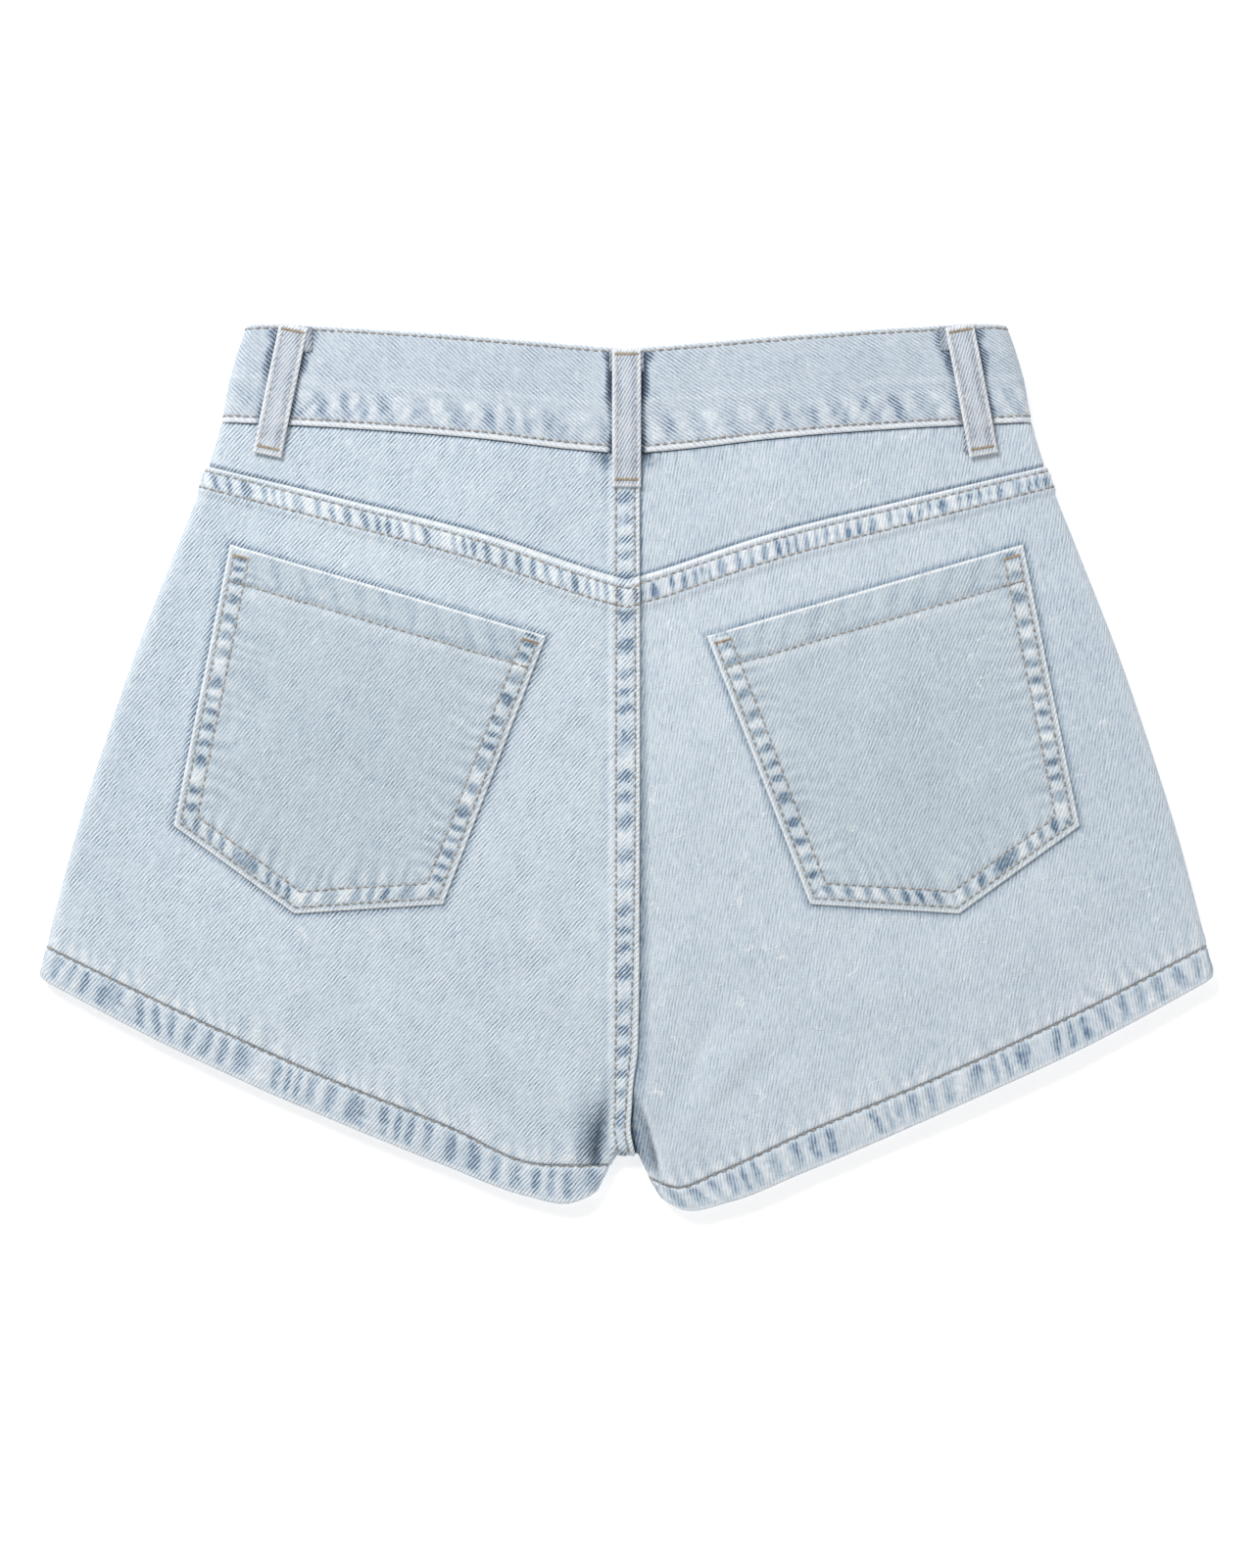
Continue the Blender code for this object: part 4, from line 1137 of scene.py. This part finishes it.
# %% [markdown]
# ## Belt loops
#
# Narrow strips folded in three, with a row of stitches inside each edge. Each end is turned under and
# held by a bar tack. At the top the turned end peeps out beside the loop, a little askew.


# %% Belt loops
LOOP_DOWN = edge_stations(70, (0, 0.003, 0.008, 0.016))
LOOP_ACROSS = edge_stations(18, (0, 0.008, 0.022, 0.045, 0.07)) - 0.5


def strip(ends, down, across, width):
    """Plan of a straight strip between two end points, as rows across it."""
    start = np.array(ends[:2])
    span = np.array(ends[2:]) - start
    sideways = np.array((-span[1], span[0])) / np.hypot(*span)
    return start + down[:, None, None] * span + across[None, :, None] * width * sideways


def height_at(x, y):
    """Height of the back at any (x, y), from the leg on that side."""
    return np.where(x < 0, back_height("left", np.abs(x), y), back_height("right", np.abs(x), y))


def loop_layers(grid, t, seed):
    """A loop's fading: a white edge and a bluer line inside each stitch row, and painted shade along the
    row.
    """
    layers = empty_layers(grid)
    x, y = grid[..., 0], grid[..., 1]
    layers[1] += 0.36 * bell(t, 3.5, 0.8) * (0.3 + cloud(x + 9, y, 5, seed + 1))
    layers[2] += 0.75 * ease(t, 1.4, 0.6) + 0.15 * cloud(x, y, 8, seed)
    layers[3] += 0.08 * bell(t, 2.3, 0.7)
    return layers


def from_loop_edges(width, length):
    """Distances in from the long edges and from the two ends of a loop."""
    t = width * (0.5 - np.abs(LOOP_ACROSS))[None, :] + 0 * LOOP_DOWN[:, None]
    return t, np.minimum(LOOP_DOWN, 1 - LOOP_DOWN)[:, None] * length


def back_loop(name, ends):
    """A straight strip on the band and the yoke, arched clear of them between its sewn ends."""
    length = math.hypot(ends[2] - ends[0], ends[3] - ends[1])
    plan = strip(ends, LOOP_DOWN, LOOP_ACROSS, LOOP_WIDTH)
    arch = np.interp(LOOP_DOWN, (0, .08, .22, .4, .58, .72, .79, .88, 1), (0, 0, .8, 1, 1, .9, .8, .1, 0))
    ground = height_at(plan[..., 0], plan[..., 1]) + LAP_LIFT
    ground += (BAND_EXTRA - LAP_LIFT) * ease(LOOP_DOWN, 0.84, 0.76)[:, None]
    grid = raised(plan, ground + SEAM_GAP + LOOP_WALL + 0.25 + LOOP_ARCH * arch[:, None])
    t, end = from_loop_edges(LOOP_WIDTH, length)
    layers = loop_layers(grid, t, 120)
    layers[0] += rolled(np.minimum(t, end), 1.0) + groove(t, 2.3, 0.28, 0.6) + 0.12 * bell(t, 1.2, 0.7)
    layers[2] += 0.75 * ease(end, 1.8, 0.8)
    flat = strip((0, 0, 0, -length), LOOP_DOWN, LOOP_ACROSS, LOOP_WIDTH)
    cloth(name + "_cloth", grid, layers, flat, 1.5, LOOP, "denim_loop", name)


for name, ends in BACK_LOOPS.items():
    back_loop(name, ends)

# %% Turned ends of the back loops
TURNED_ENDS = (
    # name, centre x, top y, bottom y, width
    ("belt_loop_end_centre", 0.0, 187.0, 177.4, 15.6),
    ("belt_loop_end_left", -148.2, 197.6, 186.4, 14.6),
    ("belt_loop_end_right", 148.0, 197.6, 186.9, 14.6),
    ("belt_loop_end_right_low", 158.0, 153.6, 141.5, 13.6),
)


def turned_end(name, x, top, bottom, width):
    """A short upright strip that lies on the band or the yoke under its loop."""
    plan = strip((x, top, x, bottom), edge_stations(14), LOOP_ACROSS, width)
    grid = raised(plan, height_at(plan[..., 0], plan[..., 1]) + BAND_EXTRA + LAP_LIFT)
    t = width * (0.5 - np.abs(LOOP_ACROSS))[None, :] + 0 * grid[..., 0]
    detail, bluer, whiter, painted_shade = layers = loop_layers(grid, t, 130)
    detail += rolled(np.minimum(t, np.minimum(top - grid[..., 1], grid[..., 1] - bottom)), 0.8)
    # the turned end lies in its loop's shade: painted shade takes most of its white, blues its edges and
    # dims it all over
    whiter *= 0.35
    bluer += 0.5 * ease(t, 3.4, 0.6)
    painted_shade += 0.10 + 0.16 * ease(t, 2.4, 0.8)
    cloth(name, grid, layers, grid[..., :2], 0.8, LOOP, "denim_loop")


for row in TURNED_ENDS:
    turned_end(*row)

# %% [markdown]
# ## The front, underneath
#
# The front lies on the table. It is a plain pair of panels with the hems and the waistband carried
# round to it, two belt loops, and a zip behind a button. None of it is seen from above, so its grids
# are coarser, but it is closed like the back.


# %% Front panels
def front_panel(leg, side):
    """A patch like the back's, level on the table, its side lifted on to the back's underlap."""
    stations = FRONT_BAND_SEAM[0][1] - np.concatenate(
        [np.arange(0, 60, 3.0), np.arange(60, 250, 5.0), np.linspace(252, 303.3, 22)])

    def inner_a(y):
        """The front panels meet at the centre line."""
        return 0 * y + 0.1

    seam = FOLD_RADIUS + UNDERLAP
    plan = patch(*panel_edges(leg, FRONT_BAND_SEAM, stations, inner_a, seam - 2.0))[:, ::2]
    a, y = plan[..., 0], plan[..., 1]
    heights = np.minimum(front_height(leg, a, y), FOLD_RADIUS - 0.3)
    heights += 1.0 * ease(half_width(y) - a - seam, 2.2, 0.4)
    _, bluer, whiter, _ = layers = empty_layers(plan)
    whiter += 0.35 * bell((y - y[-1:]) * HEM_LEAN, 1.5, 2.0)
    bluer += 0.3 * bell(a, 2.0, 1.5) * cloud(a, y, 6, 140)
    leg_cloth("front_panel", leg, side, "panel", raised(plan, heights), layers, plan, 0.9, up=False)


for leg, side in LEGS:
    front_panel(leg, side)


# %% Front loops
def front_loop(name, ends):
    """A straight strip, flat on the table."""
    plan = strip(ends, LOOP_DOWN, LOOP_ACROSS, LOOP_WIDTH)
    t, end = from_loop_edges(LOOP_WIDTH, ends[1] - ends[3])
    layers = loop_layers(plan, t, 150)
    layers[0] += rolled(np.minimum(t, end), 0.6)
    grid = raised(plan, np.full(t.shape, 0.05))
    cloth(name + "_cloth", grid, layers, plan, 1.2, LOOP, "denim_loop", name, up=False)


for name, ends in FRONT_LOOPS.items():
    front_loop(name, ends)

# %% Fly facing
FLY_LIFT = 2.2


def fly_facing():
    """A J-shaped strip inside the right front: full width, rounded away over its last fifth."""
    q = np.linspace(0, 1, 60)[:, None]
    p = np.linspace(0, 1, 24)[None, :]
    width = 36.0 * np.sqrt(1 - 0.96 * np.clip((q - 0.78) / 0.22, 0, 1)**2)
    a = 0.3 + p * width
    y = FRONT_BAND_SEAM[0][1] - 0.5 - q * 150.0 + 0 * p
    grid = np.stack([a, y, front_height("right", a, y) + FLY_LIFT], axis=-1)
    layers = empty_layers(grid)
    layers[0] += 0.05 * (cloud(a, y, 9, 160) - 0.5)
    layers[2] += 0.4 * ease(width * (1 - p), 1.6, 0.4)
    cloth("fly_facing_cloth", grid, layers, grid[..., :2], 0.8, PANEL_RIGHT, "denim_panel", "fly_facing")


fly_facing()

# %% [markdown]
# ## Zip and button
#
# The zip is a woven tape with brass teeth, one small tooth repeated as a joined mesh. Its slider is a
# rounded body with a bridge and a flat tab. The button is turned: a domed head with a rolled rim and
# a sunken middle, on a short neck, all one profile carried round its axis.


# %% Joined copies of one small shape
def joined(name, unit, faces, frames, places, finish):
    """One mesh of many copies: point k of copy i is places[i] + unit[k] turned by frames[i]."""
    points = places[:, None, :] + np.einsum("kj,ijc->ikc", unit, frames)
    shift = (np.arange(len(places)) * len(unit))[:, None]
    every = [copy for face in faces for copy in (np.array(face)[None, :] + shift).tolist()]
    return new_piece(name, points, every, finish)


def ring_faces(rings, sides):
    """Point numbers of closed rings, the same numbers one place on, and the quads between rings."""
    number = np.arange(rings * sides).reshape(rings, sides)
    after = np.roll(number, -1, axis=1)
    quads = np.stack([number[:-1], after[:-1], after[1:], number[1:]], axis=-1)
    return number, after, quads.reshape(-1, 4)


def tube_unit(length, width, height, rings=5, sides=6, sag=0.0):
    """A closed spindle: ellipses along its length whose size falls away to the ends."""
    u = np.linspace(-1, 1, rings)
    size = np.sqrt(np.clip(1.04 - np.abs(u)**3, 0.05, 1))
    turn = 2 * math.pi * np.arange(sides) / sides
    points = np.zeros((rings, sides, 3))
    points[..., 0] = (u * length / 2)[:, None]
    points[..., 1] = size[:, None] * np.cos(turn) * width / 2
    points[..., 2] = size[:, None] * np.sin(turn) * height / 2 - sag * (u**2)[:, None]
    number, _, quads = ring_faces(rings, sides)
    caps = [number[0][::-1].tolist(), number[-1].tolist()]
    return points.reshape(-1, 3), quads[:, ::-1].tolist() + caps


# %% Zip
ZIP_TOP = 126.5
ZIP_LENGTH = 138.0
ZIP_LIFT = FLY_LIFT + 1.1


def zip_height(x, y):
    """Height of the tape, which lies on the fly facing."""
    return front_height("right", np.abs(x), y) + ZIP_LIFT


def zip_tape():
    """A straight strip with a bead beside the teeth, woven in fine ribs."""
    y = (ZIP_TOP - np.linspace(0, 1, 120) * ZIP_LENGTH)[:, None]
    x = np.linspace(-12, 12, 25)[None, :] + 0 * y
    grid = np.stack([x, y + 0 * x, zip_height(x, y)], axis=-1)
    layers = empty_layers(grid)
    layers[0] += 0.25 * bell(np.abs(x), 3.6, 0.7)
    tape, tree, shader = new_material("zip_tape_weave", 0.85, sheen=0.15)
    flat = add(tree, "UVMap", uv_map="flat").outputs[0]
    rib = add(tree, "TexWave", {"Vector": flat, "Scale": 0.45, "Distortion": 0.4}, bands_direction="Y")
    painted(tree, shader, ramp(tree, rib.outputs["Fac"], ((0, (150, 162, 180)), (1, (196, 204, 214)))))
    cloth("zip_tape_cloth", grid, layers, grid[..., :2], 0.6, tape, "zip_tape", "zip_tape")


def zip_teeth():
    """Short bars across the tape, set left and right of its middle in turn."""
    y = ZIP_TOP - 14 - np.arange(0, ZIP_LENGTH - 18, 1.1)
    x = np.where(np.arange(len(y)) % 2 == 0, -0.9, 0.9)
    places = np.stack([x, y, zip_height(x, y) + 0.3], axis=-1)
    frames = np.broadcast_to(np.eye(3), (len(y), 3, 3))
    unit, faces = tube_unit(3.2, 0.85, 1.2)
    joined("zip_teeth", unit, faces, frames, places, BRASS)


zip_tape()
zip_teeth()


# %% Slider and button
def lathe(name, profile, centre, node, steps=64):
    """A closed turned piece: points (r, z) of the profile carried round the vertical axis."""
    profile = np.asarray(profile, float)
    turn = 2 * math.pi * np.arange(steps) / steps
    r, z = profile[1:-1, :1], profile[1:-1, 1:]
    points = np.stack([r * np.cos(turn), r * np.sin(turn), z + 0 * turn], axis=-1)
    points = np.concatenate([[[0, 0, profile[0, 1]]], points.reshape(-1, 3), [[0, 0, profile[-1, 1]]]])
    number, after, quads = (1 + part for part in ring_faces(len(r), steps))
    faces = quads[:, [0, 3, 2, 1]].tolist()
    faces += np.stack([0 * number[0], number[0], after[0]], axis=-1).tolist()
    faces += np.stack([0 * number[0] + len(points) - 1, after[-1], number[-1]], axis=-1).tolist()
    new_piece(name, points + centre, faces, BRASS, node)


BUTTON_PROFILE = (
    # distance from the axis, height
    (0, 3.6), (2.9, 3.6), (3.2, 3.5), (3.2, 2.8), (3.6, 2.6), (6.6, 2.5), (8.0, 2.2), (8.5, 1.6),
    (8.5, 1.1), (8.2, 0.4), (7.5, 0.06), (6.9, 0.1), (6.4, 0.5), (5.6, 0.75), (2.4, 0.55), (0, 0.5),
)
lathe("button_brass", BUTTON_PROFILE, (0, (FRONT_TOP[0][1] + FRONT_BAND_SEAM[0][1]) / 2, 0), "button")


def superellipsoid(centre, size, power=0.35, rings=13, sides=24):
    """A box with rounded sides: cosines and sines raised to a power below 1."""
    def bent(v):
        """The value's size raised to the power, with its sign kept."""
        return np.sign(v) * np.abs(v)**power
    u = np.linspace(-math.pi / 2, math.pi / 2, rings)[:, None]
    v = (2 * math.pi * np.arange(sides) / sides)[None, :]
    ring = bent(np.cos(u))
    points = np.stack([ring * bent(np.cos(v)), ring * bent(np.sin(v)), bent(np.sin(u)) + 0 * v], axis=-1)
    points = points * np.array(size) / 2 + np.array(centre)
    number, _, quads = ring_faces(rings - 2, sides)
    faces = quads.tolist() + [number[0][::-1].tolist(), number[-1].tolist()]
    return points.reshape(-1, 3)[sides:-sides], faces


def slider():
    """Three rounded boxes in one mesh: the body, the bridge on it and the flat tab."""
    y = ZIP_TOP - 2 * ZIP_LENGTH / 11
    z = float(zip_height(np.array(0.0), np.array(y)))
    parts = (
        # centre, size
        ((0, y, z + 1.25), (8.6, 11.5, 1.3)),
        ((0, y + 0.5, z + 2.05), (2.2, 6.5, 0.8)),
        ((0, y - 9.5, z + 2.2), (5.2, 13.0, 0.7)),
    )
    points, faces = [], []
    for centre, size in parts:
        more, some = superellipsoid(centre, size)
        faces += [[n + len(points) for n in face] for face in some]
        points += more.tolist()
    new_piece("zip_slider_brass", points, faces, BRASS, "zip_slider")


slider()

# %% [markdown]
# ## Stitching
#
# Each stitch is a short sunken spindle of thread. A row of stitches follows a line of its cloth's own
# grid, or a line drawn on its plan and dropped to the nearest points, so it lies on the cloth wherever
# the cloth goes. All rows of one thread on a piece are one joined mesh.

# %% Rows of stitches
STITCH_PITCH = 3.7
STITCH_LENGTH = 3.35
STITCH_WIDTH = 1.05
STITCH_HEIGHT = 0.7
random = np.random.default_rng(7)


def on_row(piece, row):
    """Points and normals along a grid row; `row` may lie between two."""
    made = made_pieces[piece]
    low = int(row)
    share = row - low
    high = min(low + 1, len(made["points"]) - 1)
    return tuple(made[k][low] * (1 - share) + made[k][high] * share for k in ("points", "normals"))


def on_plan(piece, line, step=1.1):
    """Points and normals under a line of (x, y), from the nearest point of the cloth and its slope."""
    line = np.asarray(line, float)
    run = length_along(line)
    marks = np.linspace(0, run[-1], max(2, int(run[-1] / step)))
    xy = between(run, line, marks)
    points = made_pieces[piece]["points"].reshape(-1, 3)
    normals = made_pieces[piece]["normals"].reshape(-1, 3)
    facing = np.abs(normals[:, 2]) > 0.3
    points, normals = points[facing], normals[facing]
    nearest = np.concatenate([
        ((points[None, :, :2] - part[:, None])**2).sum(-1).argmin(1)
        for part in np.array_split(xy, len(xy) // 40 + 1)])
    base, normal = points[nearest], normals[nearest]
    off = xy - base[:, :2]
    z = base[:, 2] - (off * normal[:, :2]).sum(-1) / normal[:, 2]
    return np.concatenate([xy, z[:, None]], axis=1), normal


def between(run, values, marks):
    """Rows of `values`, known along `run`, at the marks: straight lines between the known ones."""
    return np.stack([np.interp(marks, run, column) for column in values.T], axis=-1)


def stitch_frames(points, normals, pitch):
    """Evenly spaced places along a line, with unit vectors along, across and out of the cloth."""
    run = length_along(points)
    count = max(1, int(run[-1] / pitch))
    marks = (np.arange(count) + 0.5) * run[-1] / count
    along_it = between(run, points, marks + 0.6) - between(run, points, marks - 0.6)
    along_it /= np.linalg.norm(along_it, axis=1, keepdims=True)
    out = between(run, normals, marks)
    out /= np.linalg.norm(out, axis=1, keepdims=True)
    return between(run, points, marks), np.stack([along_it, np.cross(out, along_it), out], axis=1)


def stitch_rows(name, lines, pitch=STITCH_PITCH, length=STITCH_LENGTH, width=STITCH_WIDTH,
                height=STITCH_HEIGHT, finish=THREAD):
    """Stitches along all lines, each a little askew, shifted and longer or shorter by chance."""
    places, frames = zip(*(stitch_frames(*line, pitch) for line in lines))
    places, frames = np.concatenate(places), np.concatenate(frames)
    lean = random.normal(0, 0.05, len(places))
    along_it = frames[:, 0] + lean[:, None] * frames[:, 1]
    across = frames[:, 1] - lean[:, None] * frames[:, 0]
    grown = random.uniform(0.86, 1.08, len(places))[:, None]
    frames = np.stack([along_it * grown, across, frames[:, 2]], axis=1)
    places = places + frames[:, 2] * 0.10 + frames[:, 1] * random.normal(0, 0.06, len(places))[:, None]
    unit, faces = tube_unit(length, width, height, sag=0.22)
    return joined(name, unit, faces, frames, places, finish)


def row_at(stations, value):
    """Where a value falls among rising stations, as a row number with a share."""
    return float(np.interp(value, stations, np.arange(len(stations))))


# %% Seam stitching
panel_t = PANEL_ROWS[0] - PANEL_ROWS
for leg, side in LEGS:
    panel = f"back_panel_{leg}_cloth"
    start = 0 if side < 0 else 12
    lines = [[part[start:] for part in on_row(panel, row_at(panel_t, t))] for t in (ROW_1, ROW_2)]
    if side < 0:
        for column in (2, 3):
            y = np.linspace(82.5, -173.0, 200)
            lines.append(on_plan(panel, np.stack([seat_x(y, column), y], axis=-1)))
    stitch_rows(f"back_panel_{leg}_stitches", lines)
    hem_row = on_row(f"leg_hem_{leg}_cloth", row_at(HEM_DEPTH * HEM_DOWN, 0.35))
    stitch_rows(
        f"leg_hem_{leg}_stitches", [hem_row], pitch=4.4, length=3.5)

y = np.linspace(141.5, 87.0, 60)
stitch_rows(
    "back_yoke_left_stitches",
    [on_plan("back_yoke_left_cloth", np.stack([seat_x(y, column), y], axis=-1)) for column in (2, 3)])
stitch_rows(
    "waistband_stitches",
    [on_row("waistband_cloth", row_at(BAND_DEPTH * BAND_DOWN, t))
     for t in (BAND_ROWS[0], BAND_DEPTH - BAND_ROWS[1])])

# %% Pocket stitching


def pocket_corner(offset):
    """Across and down of the lower side corner of a row set in by `offset`: where its two lines meet."""
    side_lean, point_lean = math.tan(SIDE_LEAN), math.tan(POINT_LEAN)
    first = POCKET_TOP / 2 - offset / math.cos(SIDE_LEAN)
    second = POCKET_DEPTH + POCKET_POINT - offset / math.cos(POINT_LEAN)
    across = (first - side_lean * second) / (1 - side_lean * point_lean)
    return across, second - point_lean * across


def pocket_line(offset, side, start):
    """A row set in by `offset`, from `start` down one side, round the point and up the other side."""
    across, down = pocket_corner(offset)
    top_across = across + (down - start) * math.tan(SIDE_LEAN)
    tip = POCKET_DEPTH + POCKET_POINT - offset / math.cos(POINT_LEAN)
    corners = np.array([
        (-top_across, start), (-across, down), (0, tip), (across, down), (top_across, start)])
    a, y = pocket_place(corners[:, 0], corners[:, 1])
    return np.stack([side * a, y], axis=-1)


for leg, side in LEGS:
    pocket_name = f"back_pocket_{leg}_cloth"
    lines = [on_plan(pocket_name, pocket_line(offset, side, 3.0)) for offset in POCKET_ROWS]
    hem_ends = pocket_line(POCKET_ROWS[0], side, POCKET_HEM)[[0, -1]]
    lines.append(on_plan(pocket_name, hem_ends))
    stitch_rows(f"back_pocket_{leg}_stitches", lines)

# %% Belt loop stitching
for name, ends in BACK_LOOPS.items():
    lines = []
    for offset in (-4.2, 4.2):
        line = strip(ends, np.array((0.05, 0.95)), np.array((offset / LOOP_WIDTH,)), LOOP_WIDTH)[:, 0]
        lines.append(on_plan(name + "_cloth", line))
    stitch_rows(name + "_stitches", lines, pitch=3.4, length=3.1,
                                        width=0.55, finish=LOOP_THREAD)

# %% Bar tacks
TACK_WIDTH = 1.35
TACK_PITCH = 0.55


def bar_tack(piece, x, y, dx, dy, length):
    """A bar of tight stitches set across its own line, centred on (x, y) along (dx, dy)."""
    half = np.array((dx, dy)) * length / 2 / math.hypot(dx, dy)
    line = np.array([(x, y) - half, (x, y) + half])
    place, frames = stitch_frames(*on_plan(piece, line, step=0.8), TACK_PITCH)
    return place, frames[:, [1, 0, 2]] * np.array((1, -1, 1))[None, :, None]


tacks = []
for name, (top_x, top_y, end_x, end_y) in BACK_LOOPS.items():
    span = math.hypot(end_x - top_x, end_y - top_y)
    for share in (2.4 / span, 1 - 3.4 / span):
        x, y = top_x + (end_x - top_x) * share, top_y + (end_y - top_y) * share
        tacks.append(bar_tack(name + "_cloth", x, y, top_y - end_y, end_x - top_x, 10.6))
for leg, side in LEGS:
    for sign in (-1, 1):
        across = sign * (POCKET_TOP / 2 - 6.2)
        a, y = pocket_place(across, 4.2)
        tacks.append(bar_tack(f"back_pocket_{leg}_cloth", side * a, y, side * math.cos(POCKET_TILT),
                              math.sin(POCKET_TILT), 7.4))
places, frames = (np.concatenate(part) for part in zip(*tacks))
lean = random.normal(0, 0.12, len(places))[:, None]
frames = np.stack([frames[:, 0] + lean * frames[:, 1], frames[:, 1], frames[:, 2]], axis=1)
unit, faces = tube_unit(TACK_WIDTH, 0.6, 0.55, sag=0.15)
joined("bar_tacks", unit, faces, frames, places + frames[:, 2] * 0.22, TACK_THREAD)

# %% [markdown]
# ## What was cut
#
# The size of every piece of cloth laid flat is worked out and printed. The table lists what each
# lies on: the back on the front, the front on the table.

SHEETS = (
    # piece, what it lies on
    ("back_panel_left_cloth", "front_panel_left_cloth"),
    ("back_panel_right_cloth", "front_panel_right_cloth"),
    ("back_yoke_left_cloth", "front_panel_left_cloth"),
    ("back_yoke_right_cloth", "front_panel_right_cloth"),
    ("back_pocket_left_cloth", "back_panel_left_cloth"),
    ("back_pocket_right_cloth", "back_panel_right_cloth"),
    ("front_panel_left_cloth", "floor"), ("front_panel_right_cloth", "floor"),
    ("leg_hem_left_cloth", "floor"), ("leg_hem_right_cloth", "floor"), ("waistband_cloth", "floor"),
    ("belt_loop_back_centre_cloth", "waistband_cloth"), ("belt_loop_back_left_cloth", "waistband_cloth"),
    ("belt_loop_back_right_cloth", "waistband_cloth"), ("belt_loop_front_left_cloth", "floor"),
    ("belt_loop_front_right_cloth", "floor"), ("belt_loop_end_centre", "waistband_cloth"),
    ("belt_loop_end_left", "waistband_cloth"), ("belt_loop_end_right", "waistband_cloth"),
    ("belt_loop_end_right_low", "back_yoke_right_cloth"), ("fly_facing_cloth", "front_panel_right_cloth"),
    ("zip_tape_cloth", "fly_facing_cloth"),
)


def flat_size(piece):
    """Width, length and area of a sheet laid flat, in metres: from the sides of its grid."""
    points = made_pieces[piece]["points"] * MM
    width = round(length_along(points)[:, -1].max(), 4)
    length = round(length_along(points.transpose(1, 0, 2))[:, -1].max(), 4)
    down, across = np.diff(points, axis=0), np.diff(points, axis=1)
    area = np.linalg.norm(np.cross(down[:, :-1], across[:-1]), axis=-1).sum()
    return width, length, round(min(area, width * length), 6)


for piece, under in SHEETS:
    width, length, area = flat_size(piece)
    print(f"{piece}: {width * 1000:.0f} x {length * 1000:.0f} mm, {area:.4f} m2")

# %% [markdown]
# ## Table, light and camera
#
# A white table, a broad soft light from above and a little from the waist's left, and a long lens
# looking straight down.

# %% Stage
scene = bpy.context.scene
scene.view_settings.view_transform = "Standard"
scene.view_settings.look = "None"

table, tree, shader = new_material("table_white", 0.9)
shader.inputs["Base Color"].default_value = (0.9, 0.9, 0.9, 1)
shader.inputs["Emission Color"].default_value = (1, 1, 1, 1)
shader.inputs["Emission Strength"].default_value = 0.45
shader.inputs["Specular IOR Level"].default_value = 0.0
mesh = bpy.data.meshes.new("floor")
table_corners = [(x, y, TABLE * MM) for x, y in ((-6, -6), (6, -6), (6, 6), (-6, 6))]
mesh.from_pydata(table_corners, [], [(0, 1, 2, 3)])
mesh.materials.append(table)
floor = bpy.data.objects.new("floor", mesh)
scene.collection.objects.link(floor)

world = bpy.data.worlds.new("studio")
scene.world = world
world.use_nodes = True
world.node_tree.nodes["Background"].inputs["Color"].default_value = (1, 1, 1, 1)
world.node_tree.nodes["Background"].inputs["Strength"].default_value = 0.48

LIGHTS = (
    # name, place, size, watts
    ("key", (-0.72, 1.10, 1.30), 0.6, 23.5),
    ("fill", (1.1, -0.5, 1.5), 1.6, 4.0),
)
for name, place, size, watts in LIGHTS:
    data = bpy.data.lights.new(name, "AREA")
    data.size = size
    data.energy = watts
    lamp = bpy.data.objects.new(name, data)
    lamp.location = place
    tilt = math.atan2(math.hypot(*place[:2]), place[2])
    lamp.rotation_euler = (tilt, 0, math.atan2(place[0], -place[1]))
    scene.collection.objects.link(lamp)

# %% Camera
LENS = 100.0
SENSOR = 36.0
FRAME_HEIGHT = 0.704
CLOTH_TOP = 0.009
AIM = (0.0002, -0.0074)
camera_data = bpy.data.cameras.new("camera")
camera_data.lens = LENS
camera_data.sensor_width = SENSOR
camera = bpy.data.objects.new("camera", camera_data)
camera.location = (*AIM, CLOTH_TOP + FRAME_HEIGHT * LENS / SENSOR)
scene.collection.objects.link(camera)
scene.camera = camera
